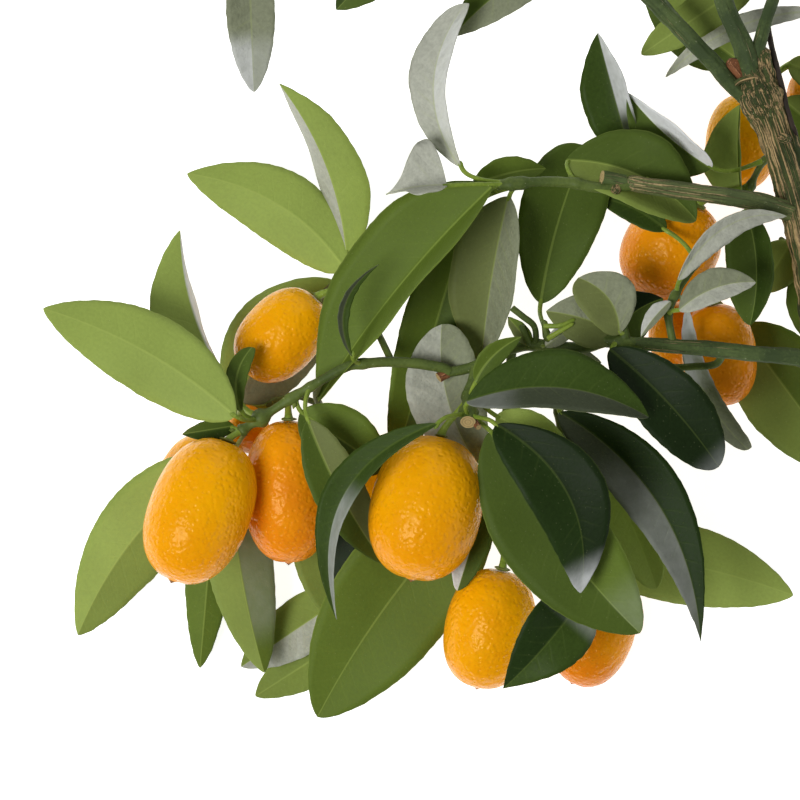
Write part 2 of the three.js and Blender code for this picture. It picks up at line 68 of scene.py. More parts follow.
UP = (0, 0, 1)
# Multiples of this step, without their whole part, never come close to repeating.
SEED_STEP = 0.618

Triple = tuple[float, float, float]
Colour = tuple[float, float, float, float]
Value = Union["Wire", float, int, bool, str, tuple, bpy.types.ID]


def linear(share: float) -> float:
    """One channel, 0 to 1, from the screen's curve to linear light."""
    return share / 12.92 if share <= 0.04045 else ((share + 0.055) / 1.055) ** 2.4


def shown(tint: Sequence[float]) -> Colour:
    """Linear colour with alpha of a tint as a screen shows it, each channel 0 to 255."""
    red, green, blue = (linear(channel / 255) for channel in tint)
    return red, green, blue, 1.0


def seed_of(index: int, start: float = 0.0) -> float:
    """A fixed number from 0 to 1 that differs well from one index to the next."""
    return (index * SEED_STEP + start) % 1.0


# ---------- node graphs ----------


class Wire:
    """An output of a node, so that sums on it read as sums."""

    def __init__(self, graph: "Graph", socket: bpy.types.NodeSocket) -> None:
        """Keeps the graph that the output is in, and its socket."""
        self.graph = graph
        self.socket = socket

    def __add__(self, other: Value) -> "Wire":
        """Sum."""
        return self.graph.sum_of("ADD", self, other)

    def __sub__(self, other: Value) -> "Wire":
        """Difference."""
        return self.graph.sum_of("SUBTRACT", self, other)

    def __rsub__(self, other: Value) -> "Wire":
        """Difference, from the right."""
        return self.graph.sum_of("SUBTRACT", other, self)

    def __mul__(self, other: Value) -> "Wire":
        """Product."""
        return self.graph.sum_of("MULTIPLY", self, other)

    def __truediv__(self, other: Value) -> "Wire":
        """Quotient."""
        return self.graph.sum_of("DIVIDE", self, other)

    def __pow__(self, other: Value) -> "Wire":
        """Power."""
        return self.graph.math("POWER", self, other)


class Graph:
    """Adds nodes to one node tree and joins them."""

    def __init__(self, tree: bpy.types.NodeTree) -> None:
        """Keeps the tree."""
        self.tree = tree

    def node(self, kind: str, feeds: dict[Any, Value] | None = None, **settings: Any) -> bpy.types.Node:
        """Adds one node.

        Args:
            kind: the node's type name.
            feeds: input name or index to a wire or a constant.
            settings: properties of the node, set before its inputs.

        Returns:
            The node.
        """
        node = self.tree.nodes.new(kind)
        for key, value in settings.items():
            setattr(node, key, value)
        for key, value in (feeds or {}).items():
            if isinstance(value, Wire):
                self.tree.links.new(value.socket, node.inputs[key])
            else:
                node.inputs[key].default_value = value
        return node

    def out(
        self, kind: str, feeds: dict[Any, Value] | None = None, output: Any = 0, **settings: Any
    ) -> Wire:
        """Adds one node and gives one of its outputs.

        Args:
            kind: the node's type name.
            feeds: input name or index to a wire or a constant.
            output: name or index of the output.
            settings: properties of the node.

        Returns:
            The output.
        """
        return Wire(self, self.node(kind, feeds, **settings).outputs[output])

    def math(self, operation: str, *values: Value) -> Wire:
        """A Math node on one to three numbers."""
        return self.out("ShaderNodeMath", dict(enumerate(values)), operation=operation)

    def vector(self, operation: str, *values: Value, output: Any = 0) -> Wire:
        """A Vector Math node on one or two vectors."""
        return self.out("ShaderNodeVectorMath", dict(enumerate(values)), output, operation=operation)

    def sum_of(self, operation: str, first: Value, second: Value) -> Wire:
        """A sum of two values, either of which may be a vector.

        Args:
            operation: ADD, SUBTRACT, MULTIPLY or DIVIDE.
            first: left value.
            second: right value.

        Returns:
            The result, a vector where one of the values is.
        """
        long = [v for v in (first, second) if isinstance(v, tuple) or self.is_long(v)]
        if not long:
            return self.math(operation, first, second)
        if operation == "MULTIPLY" and len(long) == 1:
            factor = second if long[0] is first else first
            return self.out("ShaderNodeVectorMath", {0: long[0], "Scale": factor}, operation="SCALE")
        return self.vector(operation, first, second)

    @staticmethod
    def is_long(value: Value) -> bool:
        """Whether a value is a wire that carries a vector."""
        return isinstance(value, Wire) and value.socket.type == "VECTOR"

    def combine(self, x: Value, y: Value, z: Value) -> Wire:
        """A vector of three numbers."""
        return self.out("ShaderNodeCombineXYZ", {0: x, 1: y, 2: z})

    def split(self, vector: Wire) -> tuple[Wire, Wire, Wire]:
        """The three numbers of a vector."""
        node = self.node("ShaderNodeSeparateXYZ", {0: vector})
        return Wire(self, node.outputs[0]), Wire(self, node.outputs[1]), Wire(self, node.outputs[2])

    def ramp(self, value: Value, start: Value, end: Value) -> Wire:
        """0 below start and 1 past end, with a soft step between them. End may be the lower one."""
        feeds = {"Value": value, "From Min": start, "From Max": end}
        return self.out("ShaderNodeMapRange", feeds, interpolation_type="SMOOTHSTEP")

    def noise(self, place: Wire, scale: Value, detail: float = 2.0) -> Wire:
        """Soft noise around 0.5 at a place."""
        return self.out("ShaderNodeTexNoise", {"Vector": place, "Scale": scale, "Detail": detail})

    def bell(self, value: Wire, width: float) -> Wire:
        """1 where the value is 0, falling off softly to both sides over a width."""
        return self.math("EXPONENT", (value / width) ** 2.0 * -1.0)

    def radius(self, x: Wire, y: Wire) -> Wire:
        """Distance from the axis."""
        return self.math("SQRT", x * x + y * y)

    def blend(self, factor: Value, first: Value, second: Value) -> Wire:
        """A colour between two colours."""
        return self.out("ShaderNodeMix", {0: factor, 6: first, 7: second}, 2, data_type="RGBA")


def grain_noise(graph: Graph, grain: Wire, size: Value) -> Wire:
    """Streaky noise along a limb, the same for its relief and its colour.

    Args:
        graph: the graph to add to.
        grain: place on the limb's skin, with the run along it as its third number.
        size: a streak's width, width and length, as a vector.

    Returns:
        Noise around 0.5.
    """
    return graph.noise(graph.vector("DIVIDE", grain, size), 1.0, 3.0)


class Maker(Graph):
    """A Geometry Nodes tree with named inputs. It turns a mesh of rows into one plain mesh."""

    def __init__(self, name: str) -> None:
        """Starts an empty tree.

        Args:
            name: the tree's name.
        """
        super().__init__(bpy.data.node_groups.new(name, "GeometryNodeTree"))
        for side in ("INPUT", "OUTPUT"):
            self.tree.interface.new_socket("Geometry", in_out=side, socket_type="NodeSocketGeometry")
        self.entry = self.tree.nodes.new("NodeGroupInput")
        self.rows = Wire(self, self.entry.outputs[0])

    def size(self, name: str, default: Any, kind: str = "Float") -> Wire:
        """Adds a named input.

        Args:
            name: the input's name.
            default: its value where a piece sets none.
            kind: Float or Int.

        Returns:
            The input.
        """
        socket = self.tree.interface.new_socket(name, in_out="INPUT", socket_type=f"NodeSocket{kind}")
        socket.default_value = default
        return Wire(self, self.entry.outputs[name])

    def read(self, name: str) -> Wire:
        """Reads a named attribute of numbers."""
        return self.out("GeometryNodeInputNamedAttribute", {"Name": name}, data_type="FLOAT")

    def read_vector(self, name: str) -> Wire:
        """Reads a named attribute of vectors."""
        return self.out("GeometryNodeInputNamedAttribute", {"Name": name}, data_type="FLOAT_VECTOR")

    def keep(self, geometry: Wire, name: str, value: Wire, kind: str = "FLOAT_VECTOR") -> Wire:
        """Stores a value on the points as a named attribute and gives the geometry back."""
        feeds = {"Geometry": geometry, "Name": name, "Value": value}
        return self.out("GeometryNodeStoreNamedAttribute", feeds, data_type=kind, domain="POINT")

    def move(self, geometry: Wire, **feeds: Value) -> Wire:
        """Sets or offsets the points' places."""
        return self.out("GeometryNodeSetPosition", {"Geometry": geometry, **feeds})

    def is_number(self, value: Wire, number: int) -> Wire:
        """Whether a value is a whole number."""
        return self.math("COMPARE", value, float(number), 0.4)

    def dress(self, geometry: Wire, material: bpy.types.Material, where: Value = True) -> Wire:
        """Gives a material to the faces that a selection picks."""
        feeds = {"Geometry": geometry, "Selection": where, "Material": material}
        return self.out("GeometryNodeSetMaterial", feeds)

    def lumpy(self, geometry: Wire, scale: float, height: Value) -> Wire:
        """Lifts and sinks a geometry's skin in soft lumps of a height."""
        swell = self.noise(self.out("GeometryNodeInputPosition"), scale) - 0.5
        return self.move(geometry, Offset=self.out("GeometryNodeInputNormal") * (swell * height))

    def copies(self, piece: Wire, **feeds: Value) -> Wire:
        """Puts a copy of a piece on every row.

        Args:
            piece: the geometry to copy.
            feeds: the copies' turn and scale, where they have them.

        Returns:
            The copies, made real.
        """
        feeds = {"Points": self.rows, "Instance": piece, **feeds}
        placed = self.out("GeometryNodeInstanceOnPoints", feeds)
        return self.out("GeometryNodeRealizeInstances", {0: placed})

    def turned_copies(self, piece: Wire) -> Wire:
        """Puts a copy of a piece on every row, of the row's "half_size" and along its "axis".

        Args:
            piece: an upright geometry of radius 1.

        Returns:
            The copies, made real.
        """
        along = {"Vector": self.read_vector("axis")}
        turn = self.out("FunctionNodeAlignRotationToVector", along, axis="Z")
        return self.copies(piece, Rotation=turn, Scale=self.read_vector("half_size"))

    def close(self, geometry: Wire, smooth: Value = True) -> None:
        """Shades the result smooth where asked and ends the tree."""
        shaded = self.out("GeometryNodeSetShadeSmooth", {"Geometry": geometry, "Shade Smooth": smooth})
        self.node("NodeGroupOutput", {0: shaded})

    def run(
        self, name: str, rows: bpy.types.Mesh, sizes: dict[str, Any] | None = None
    ) -> bpy.types.Object:
        """Runs the tree on a mesh of rows.

        Args:
            name: the new piece's name.
            rows: mesh of points or edges with the attributes that the tree reads.
            sizes: values for the tree's named inputs.

        Returns:
            The new piece, a plain mesh in the scene.
        """
        host = in_scene(bpy.data.objects.new(name + "_rows", rows))
        modifier = host.modifiers.new(name, "NODES")
        modifier.node_group = self.tree
        keys = {item.name: item.identifier for item in self.tree.interface.items_tree}
        for key, value in (sizes or {}).items():
            modifier[keys[key]] = value
        depsgraph = bpy.context.evaluated_depsgraph_get()
        mesh = bpy.data.meshes.new_from_object(host.evaluated_get(depsgraph), depsgraph=depsgraph)
        bpy.data.objects.remove(host)
        return in_scene(bpy.data.objects.new(name, mesh))


def in_scene(piece: bpy.types.Object) -> bpy.types.Object:
    """Links an object to the scene and gives it back."""
    bpy.context.scene.collection.objects.link(piece)
    return piece


def rows_mesh(
    points: Sequence[Any], edges: Sequence[Any] = (), **columns: Sequence[Any]
) -> bpy.types.Mesh:
    """A mesh of points or polylines with one attribute for each column.

    Args:
        points: places.
        edges: pairs of point numbers.
        columns: a number or a vector for each point.

    Returns:
        The mesh.
    """
    mesh = bpy.data.meshes.new("rows")
    mesh.from_pydata([tuple(p) for p in points], list(edges), [])
    for key, column in columns.items():
        values = np.array(column, dtype=float)
        is_long = values.ndim == 2
        layer = mesh.attributes.new(key, "FLOAT_VECTOR" if is_long else "FLOAT", "POINT")
        layer.data.foreach_set("vector" if is_long else "value", values.ravel())
    return mesh


# ---------- rows of the plant ----------


class Tone(Enum):
    """Greens of the leaves as a screen shows them, with painted light, shade and sheen in them."""

    # PALE also stands in for light shining through a leaf.
    # The leaves' own greens, paler below than above, in steps that also carry painted light and shade.
    PALE = (143, 161, 78)
    SOFT = (122, 138, 64)
    FRESH = (92, 111, 39)
    MID = (74, 92, 32)
    DEEP = (54, 72, 25)
    DARK = (34, 51, 18)
    INK = (27, 41, 17)
    # OLIVE is an olive green that on some halves also stands in for a dim painted sheen.
    OLIVE = (106, 115, 65)
    # The rest are painted sheen: grey to white highlights laid into a leaf's colour.
    MIST = (126, 131, 106)
    SILVER = (172, 174, 160)
    ASH = (70, 77, 58)
    FROST = (216, 218, 214)


class Peel(Enum):
    """How ripe a fruit is: the colours of its stalk end and of its far end."""

    GOLD = ((240, 168, 4), (232, 150, 6))
    AMBER = ((236, 150, 10), (218, 122, 16))


class Skin(Enum):
    """What covers a shoot."""

    BARK = 0
    GREEN_BARK = 1
    TWIG = 2
    FRESH = 3
    DEAD = 4
    DARK = 5
    OLD_BARK = 6


@dataclass(frozen=True)
class Limb:
    """A limb or twig that tapers evenly along a smooth path."""

    from_radius: float
    to_radius: float
    path: list[Triple]
    collar: float | None = None
    skin: Skin = Skin.GREEN_BARK
    cut_end: bool = False


@dataclass(frozen=True)
class Blade:
    """One leaf. Left and right are as it is seen from above, looking from its base to its tip.

    Roll is its turn about that line, and fold is twice the angle by which each half rises, both in
    degrees. Bow is how far its middle arches up, and sway how far it swings to its own right. Point
    is how sharply it closes at its tip. Gleam is how much painted sheen shows at the left and at the
    right, and the share of its length where it starts and where it ends.
    """

    base: Triple
    tip: Triple
    width: float
    left: Tone
    right: Tone
    roll: float = 0.0
    fold: float = 24.0
    bow: float = 0.0
    sway: float = 0.0
    under: bool = False
    point: float = 0.86
    gleam: tuple[float, float, float, float] = (0.0, 0.0, 0.0, 0.0)


@dataclass(frozen=True)
class Spray:
    """Twigs with their leaves."""

    name: str
    twigs: list[Limb]
    blades: list[Blade]


@dataclass(frozen=True)
class Fruit:
    """One fruit, its axis towards its stalk, and the spray that it hangs from."""

    centre: Triple
    axis: Triple
    length: float
    width: float
    peel: Peel
    spray: str


BOUGHS = {
    "main_stem": Limb(
        5.8, 4.6,
        [(109, -26, 34), (108, 0, 35), (104.5, 30, 36), (99.8, 50, 37),
         (95.8, 63, 37.5), (93.2, 70.5, 37.8), (90.6, 76.5, 38), (88.6, 83, 38)],
        collar=0.93, skin=Skin.BARK,
    ),
    "fork_left": Limb(
        2.0, 2.5,
        [(86.5, 76, 38), (82.3, 80, 39.5), (78, 85, 41), (68.3, 95, 42.4), (62.5, 101, 43),
         (54, 109.5, 44)],
    ),
    "fork_middle": Limb(
        2.7, 2.3,
        [(88.2, 79, 39), (87.2, 84.5, 40.5), (85.5, 90, 41), (83.2, 95, 40.8), (81.2, 100, 40.4),
         (79.5, 110, 40)],
    ),
    "fork_right": Limb(
        1.8, 1.5,
        [(89, 81, 38), (89.4, 86.5, 40), (90.4, 90.5, 40), (91.9, 95.5, 39), (93.5, 100, 37.4),
         (94.4, 103.5, 36.3)],
    ),
    "upper_bough": Limb(
        2.5, 2, [(98.5, 47, 39), (87.5, 50, 44), (75, 51.75, 46), (65, 53, 47), (56, 54.5, 47.5)],
        skin=Skin.OLD_BARK,
    ),
    "lower_bough": Limb(
        2.2, 1.7,
        [(106.5, 7.5, 37), (100, 10.5, 43), (87.5, 11.75, 45),
         (75, 13, 46), (65, 13.75, 46.5), (57.3, 14.3, 46.5)],
    ),
}

SPRAYS = [
    Spray(
        "upper_tip_spray",
        twigs=[
            Limb(
                1.6, 1.1,
                [(65, 53.1, 46.9), (57.5, 53.7, 47.4), (50, 53, 48), (42.5, 54.25, 48.5),
                 (35, 54.5, 49), (29, 54, 49.5), (23.75, 53.5, 50)],
            ),
        ],
        blades=[
            Blade((23, 53, 52), (-20.5, -0.5, 34), 32, Tone.FRESH, Tone.FRESH,
                  roll=38, fold=76, bow=2, sway=1.5),
            Blade((17, 46, 37), (-2, -18, 24), 19, Tone.MID, Tone.FRESH, roll=-8, fold=40),
            Blade((27.3, 51, 43), (20.5, 8, 31), 22, Tone.MIST, Tone.OLIVE, roll=28, fold=60, bow=2),
            Blade((18, 53.5, 44), (36.5, 58, 40), 9, Tone.FRESH, Tone.FRESH, fold=40, bow=1, sway=-1),
            Blade((15, 58, 53), (16.5, 99, 50), 13.5, Tone.SILVER, Tone.SILVER,
                  roll=-40, fold=44, bow=2, sway=-7.8, point=0.4, gleam=(0, 0.4, 0.2, 0.9)),
            Blade((11.7, 53.3, 55), (-3.5, 51.2, 53), 24, Tone.SILVER, Tone.SILVER,
                  roll=40, fold=80, bow=1, point=1.9),
            Blade((41.5, 60, 43), (74.25, 45, 40), 22.5, Tone.MID, Tone.SOFT,
                  roll=-16, fold=56, bow=2, sway=-3.8, point=0.7),
            Blade((58, 62.5, 32), (49.75, 92.25, 34), 17, Tone.DEEP, Tone.ASH,
                  roll=-33, fold=66, bow=2, sway=1, gleam=(0, 0.65, 0.35, 1.2)),
        ],
    ),
    Spray(
        "cluster_spray",
        twigs=[
            Limb(1.5, 1.8, [(65, 13.7, 46.4), (59, 14.1, 46.5), (55, 14.5, 46.4), (50, 15, 46)]),
            Limb(0.9, 0.8, [(56, 14.6, 46.5), (56.2, 17, 47), (56, 18.8, 47.4)]),
            Limb(
                1.5, 1.3,
                [(51.5, 14.9, 46.1), (46.5, 13.2, 45.3), (40, 13.25, 44), (32.5, 13.75, 43),
                 (25, 11.75, 42), (18, 8.25, 41), (11.25, 6.75, 41)],
            ),
            Limb(1, 0.8, [(38, 13.5, 44), (36.5, 17, 46), (36, 20, 47)]),
            Limb(1.3, 1.9, [(19, 8, 42), (17.5, 1, 46), (16.9, -5.5, 54)], cut_end=True),
            Limb(1.2, 0.9, [(28, 12.5, 42), (27, 0, 36), (26, -12, 33), (26, -26, 32), (26.5, -38, 34)]),
            Limb(
                1.2, 0.9,
                [(36, 13.5, 43.5), (38.5, 6, 37), (40, -4, 32),
                 (42, -18, 29), (44.5, -34, 29), (47, -44, 28)],
            ),
        ],
        blades=[
            Blade((35.25, 24.25, 36), (47, 64, 31), 22, Tone.MID, Tone.MID,
                  fold=30, bow=2, sway=-1.5, point=0.38),
            Blade((19.5, -16, 35), (10.5, 19, 37.5), 20, Tone.SILVER, Tone.MIST,
                  roll=-8, fold=30, bow=2, sway=-3, point=0.5),
            Blade((18.75, 4.5, 52), (30.25, 15.75, 54), 6.5, Tone.FRESH, Tone.MID,
                  fold=50, bow=1, sway=-1.5),
            Blade((16.5, -0.5, 60), (61.75, -4.3, 58), 19, Tone.DEEP, Tone.ASH,
                  roll=-28, fold=56, bow=4, sway=-4, point=0.72, gleam=(0, 0.15, -0.3, 0.2)),
            Blade((24, -6, 60), (45, -48, 54), 20.5, Tone.INK, Tone.DARK,
                  fold=30, bow=4, sway=-8, point=0.8, gleam=(0.6, 0.6, 0.92, 1.25)),
            Blade((22.5, -7.5, 50), (60, -58.25, 46), 28, Tone.FRESH, Tone.MID,
                  roll=12, fold=30, bow=3, sway=2, point=0.7, gleam=(0.1, 0, 0.85, 1)),
            Blade((52.25, 12.75, 51), (79.5, -16.7, 50), 18, Tone.INK, Tone.INK,
                  fold=36, bow=3, sway=-1.5, point=0.55, gleam=(0.2, 0.2, 0.97, 1.3)),
            Blade((52, 14, 40), (66, 25.5, 38), 13, Tone.INK, Tone.MID, fold=30, bow=1, sway=-2),
            Blade((40, -3, 40), (75.3, -60.75, 42), 17, Tone.DARK, Tone.ASH,
                  fold=40, bow=4, sway=-9, point=1.1, gleam=(0, 0.16, 0.3, 0.9)),
            Blade((42.5, -5, 34), (64.5, -47.5, 32), 16, Tone.PALE, Tone.PALE,
                  fold=30, bow=2, sway=-2, point=0.6),
            Blade((24, -4, 44), (43, -14, 40), 12, Tone.PALE, Tone.SOFT, fold=40, bow=1),
            Blade((9.25, -5.75, 62), (-15.75, -54.5, 58), 11, Tone.DEEP, Tone.DEEP,
                  roll=32, fold=60, bow=4, sway=12, gleam=(0.35, 0, 0.5, 1.2)),
            Blade((21.75, -22.5, 26), (-21, -80.5, 13), 32, Tone.FRESH, Tone.FRESH,
                  roll=-8, bow=1, sway=3, point=0.72),
            Blade((22.5, -22, 35), (14.4, -47.8, 40), 9, Tone.MID, Tone.FROST, fold=40, bow=1, point=0.6),
            Blade((46.5, -48, 41), (25.75, -72.25, 42.5), 18, Tone.DEEP, Tone.DARK,
                  roll=-10, fold=26, bow=5, point=1.05, gleam=(0.4, 0.3, -0.2, 0.2)),
            Blade((45, -38, 20), (99.75, -49.5, 16), 21, Tone.PALE, Tone.PALE,
                  bow=2, sway=2, under=True, point=0.75),
            Blade((54.8, 16.5, 48), (44.5, 30.5, 51), 15, Tone.OLIVE, Tone.MIST,
                  fold=40, bow=1, sway=3, point=0.5),
            Blade((55, 16.5, 45.5), (36.5, 22.2, 46), 14, Tone.OLIVE, Tone.MIST, fold=30, bow=2, sway=1),
            Blade((33, 13.8, 44), (27, 20.8, 43), 4.2, Tone.OLIVE, Tone.FRESH, fold=30, bow=1),
            Blade((36.3, 13.4, 45), (44.8, 19.6, 46), 4.5, Tone.SILVER, Tone.MIST, fold=30, bow=1),
            Blade((38, 13, 41), (50.5, 9.3, 41), 5, Tone.MIST, Tone.ASH, fold=30, bow=1),
        ],
    ),
    Spray(
        "lower_left_spray",
        twigs=[
            Limb(
                1.4, 1,
                [(12.4, 7, 41.2), (9.5, 8.3, 41.8), (0, 9.5, 43), (-10, 9, 44),
                 (-15, 7.5, 44), (-25, 1.75, 43), (-33.75, -3.75, 42), (-40.5, -8.25, 42)],
            ),
            Limb(0.9, 0.7, [(-2, 9.5, 43), (-7, 20, 36), (-12, 31, 30)]),
            Limb(
                1, 0.7,
                [(-20, 4.8, 43), (-21, 1, 33), (-19, -4, 22),
                 (-15, -14, 13), (-13, -30, 9), (-9, -45, 8)],
            ),
            Limb(0.8, 0.7, [(-20, -1, 27), (-28, 1, 20), (-35.5, -3, 16)]),
        ],
        blades=[
            Blade((-41, -4, 52), (-88.75, 22.75, 56), 20.5, Tone.PALE, Tone.PALE,
                  fold=20, bow=3, sway=-3, under=True, point=0.78),
            Blade((-40.5, 0, 38), (-55.5, 42.75, 30), 23, Tone.PALE, Tone.FROST,
                  roll=51, fold=70, bow=2, sway=3, under=True, point=0.8, gleam=(0, 1, -0.2, 1.2)),
            Blade((-42, -1, 18), (-17, 30.5, 12), 24, Tone.PALE, Tone.MIST,
                  fold=20, bow=1, sway=2, under=True, point=0.7),
            Blade((-40, -3, 46), (-37, 13.2, 42), 5.8, Tone.MID, Tone.MID,
                  fold=40, bow=1, sway=-2.4, point=0.42),
            Blade((-43, -14, 30), (-81.5, -59.5, 20), 22, Tone.SOFT, Tone.PALE,
                  fold=20, bow=2, sway=-5, under=True, point=0.75),
            Blade((-46, -14, 27), (-51, -68.3, 5), 13, Tone.FRESH, Tone.FRESH,
                  fold=40, bow=2, under=True, point=0.68),
            Blade((-43, -12, 28), (-34.5, -69.25, 13), 19, Tone.FRESH, Tone.SOFT,
                  fold=50, bow=2, sway=-2, under=True, point=0.7, gleam=(0.15, 0, 0, 0.8)),
            Blade((-23, -5, 50), (-3.5, -41.5, 38), 13.5, Tone.OLIVE, Tone.MID, fold=30, bow=2, sway=1.5),
            Blade((-25, -3, 42), (-3.7, -17.5, 37), 17, Tone.FRESH, Tone.MID, fold=26, bow=2, point=0.75),
            Blade((-20, -8, 19), (-13.25, -58.75, 16), 18, Tone.INK, Tone.SOFT,
                  fold=26, sway=3, point=0.6),
            Blade((-12, 10.8, 50), (-5.25, 33.75, 54), 3.2, Tone.ASH, Tone.DEEP,
                  roll=20, fold=40, sway=-5.6),
            Blade((-11, -48, 9), (-40.5, -68, 6), 15, Tone.SILVER, Tone.SOFT,
                  fold=26, bow=1, under=True, point=0.75),
            Blade((-11, -59, 5), (-36.9, -75.6, 3), 13, Tone.SOFT, Tone.SOFT,
                  bow=1, under=True, point=0.75),
            Blade((-13.75, 33, 26), (-53.9, 57.3, 20), 19, Tone.PALE, Tone.PALE,
                  fold=20, bow=2, sway=-5.2, under=True, point=0.78),
            Blade((-13.25, 35.5, 24), (-30.25, 79.5, 34), 17.5, Tone.SILVER, Tone.PALE,
                  roll=-37, fold=64, bow=2, sway=-3, under=True),
            Blade((-41.5, -6.6, 40), (-54.6, -8.6, 42), 5.5, Tone.DEEP, Tone.MID, fold=30, bow=1),
        ],
    ),
    Spray(
        "rear_right_spray",
        twigs=[
            Limb(
                0.95, 0.7,
                [(81, 12, 44.5), (79, 9, 42.2), (74, 8.4, 41.3), (68, 8.25, 40), (62, 10, 34),
                 (60.5, 17, 27), (64.5, 24, 20), (72, 27, 13), (81, 28, 12)],
            ),
        ],
        blades=[
            Blade((86, 19, 14), (115, -20, 9), 25, Tone.FRESH, Tone.SOFT, fold=20, bow=1),
            Blade((60, 21, 17), (41, 24, 8), 12, Tone.ASH, Tone.MIST, bow=1, under=True),
        ],
    ),
    Spray(
        "middle_right_spray",
        twigs=[
            Limb(
                1, 0.7,
                [(68.3, 13.6, 46.3), (67, 21.25, 47.5), (68, 25, 48),
                 (70.5, 29, 46), (74.5, 34.5, 44), (77.5, 39, 42)],
            ),
        ],
        blades=[
            Blade((69.3, 30, 50), (96.8, 46, 43), 7.5, Tone.SILVER, Tone.SILVER,
                  roll=30, fold=50, bow=2, sway=-7.5),
            Blade((69.5, 22.3, 54), (88.5, 29.3, 54), 10, Tone.MIST, Tone.SILVER,
                  roll=-20, fold=50, bow=2, sway=-1.5, point=0.7),
            Blade((67.5, 24.5, 50), (60, 15.75, 53), 5, Tone.MIST, Tone.SILVER,
                  roll=30, fold=60, bow=1, gleam=(0, 0.3, 0, 1)),
            Blade((66.75, 42.5, 40), (49, 51, 34), 8.5, Tone.DEEP, Tone.DEEP, roll=15, fold=34, sway=1.5),
            Blade((72, 23.5, 38), (87.5, -12.5, 36), 7, Tone.MIST, Tone.MIST,
                  fold=50, sway=4.5, point=0.35, gleam=(0.95, 0.9, -0.3, 0.45)),
        ],
    ),
    Spray(
        "stem_right_spray",
        twigs=[
            Limb(0.9, 0.7, [(94.5, 63, 36), (91.5, 60, 31), (89, 55.5, 29), (87, 50, 28)]),
        ],
        blades=[
            Blade((78.25, 58.3, 38), (57, 77, 41), 17, Tone.MID, Tone.FROST,
                  roll=-35, fold=70, bow=1, sway=-1, gleam=(0, 0.85, -0.2, 1.2)),
            Blade((86.25, 50, 27), (85.75, 74.5, 27), 18, Tone.PALE, Tone.MID, roll=-45, fold=90, bow=1),
            Blade((87, 48, 36), (88, 18.75, 36), 16, Tone.DEEP, Tone.MID,
                  roll=30, fold=60, bow=1, sway=-3, point=0.7),
        ],
    ),
    Spray(
        "stem_low_spray",
        twigs=[
            Limb(0.9, 0.7, [(103.2, 35, 34), (100.5, 37.5, 25), (96, 41, 20)]),
        ],
        blades=[
            Blade((99, 40, 23), (91, 27, 21), 12, Tone.SOFT, Tone.PALE, fold=30, bow=1),
            Blade((100, 32, 23), (111, 10, 20), 13, Tone.FRESH, Tone.FRESH, bow=1),
        ],
    ),
    Spray(
        "rear_top_spray",
        twigs=[
            Limb(0.9, 0.7, [(92.3, 70, 36), (93.5, 76, 25), (91, 83, 16.5)]),
        ],
        blades=[
            Blade((98, 85, 24), (122, 76, 26), 11, Tone.PALE, Tone.SOFT, fold=30, bow=1),
            Blade((97, 76, 20), (118, 58, 16), 14, Tone.SOFT, Tone.FRESH, bow=1),
            Blade((86, 86, 16), (62, 104, 8), 17, Tone.MID, Tone.SOFT, bow=1, under=True),
        ],
    ),
    Spray(
        "crown_right_spray",
        twigs=[
            Limb(1.4, 0.8, [(94.2, 102, 36.2), (95.4, 108, 37), (98, 117, 37), (101, 124, 37)]),
            Limb(0.8, 0.7, [(97.3, 115, 37), (102.5, 110.5, 34), (107.5, 104, 32)]),
        ],
        blades=[
            Blade((92, 108, 31), (60.75, 87, 30), 10.5, Tone.SOFT, Tone.SOFT, bow=2, point=0.66),
            Blade((106, 98, 29), (67, 81.5, 25), 6, Tone.SILVER, Tone.SILVER,
                  fold=50, bow=2, sway=4.5, point=0.66),
            Blade((104, 128, 38), (122, 150, 42), 15, Tone.FRESH, Tone.MID, fold=26, bow=2),
            Blade((99, 128, 37), (84, 156, 38), 16, Tone.MID, Tone.FRESH, fold=26, bow=2, sway=2),
            Blade((110, 107, 34), (134, 112, 36), 14, Tone.MID, Tone.MID, fold=26, bow=2),
        ],
    ),
    Spray(
        "crown_spray",
        twigs=[
            Limb(2, 1, [(56, 107.5, 43.8), (40, 114, 46), (15, 118, 47), (-15, 120, 46), (-36, 119, 44)]),
        ],
        blades=[
            Blade((41, 111, 46), (13.25, 91, 42), 14, Tone.MIST, Tone.MID, fold=50, bow=2, sway=2),
            Blade((-38, 116, 46), (-36.5, 77, 44), 13, Tone.MIST, Tone.MIST,
                  fold=40, bow=2, point=0.7, gleam=(0.2, 0.6, 0.7, 1.2)),
            Blade((28, 118, 48), (44, 150, 50), 17, Tone.FRESH, Tone.MID, fold=26, bow=2, sway=-2),
            Blade((4, 121, 49), (10, 153, 47), 16, Tone.MID, Tone.MID, fold=26, bow=2, sway=2),
            Blade((-18, 122, 48), (-40, 148, 44), 17, Tone.FRESH, Tone.FRESH, fold=26, bow=2, sway=1),
            Blade((-40, 121, 44), (-66, 112, 40), 15, Tone.SOFT, Tone.SOFT, fold=26, bow=2, under=True),
            Blade((2, 117, 42), (-16, 98, 36), 14, Tone.MID, Tone.DEEP, fold=26, bow=1),
        ],
    ),
]

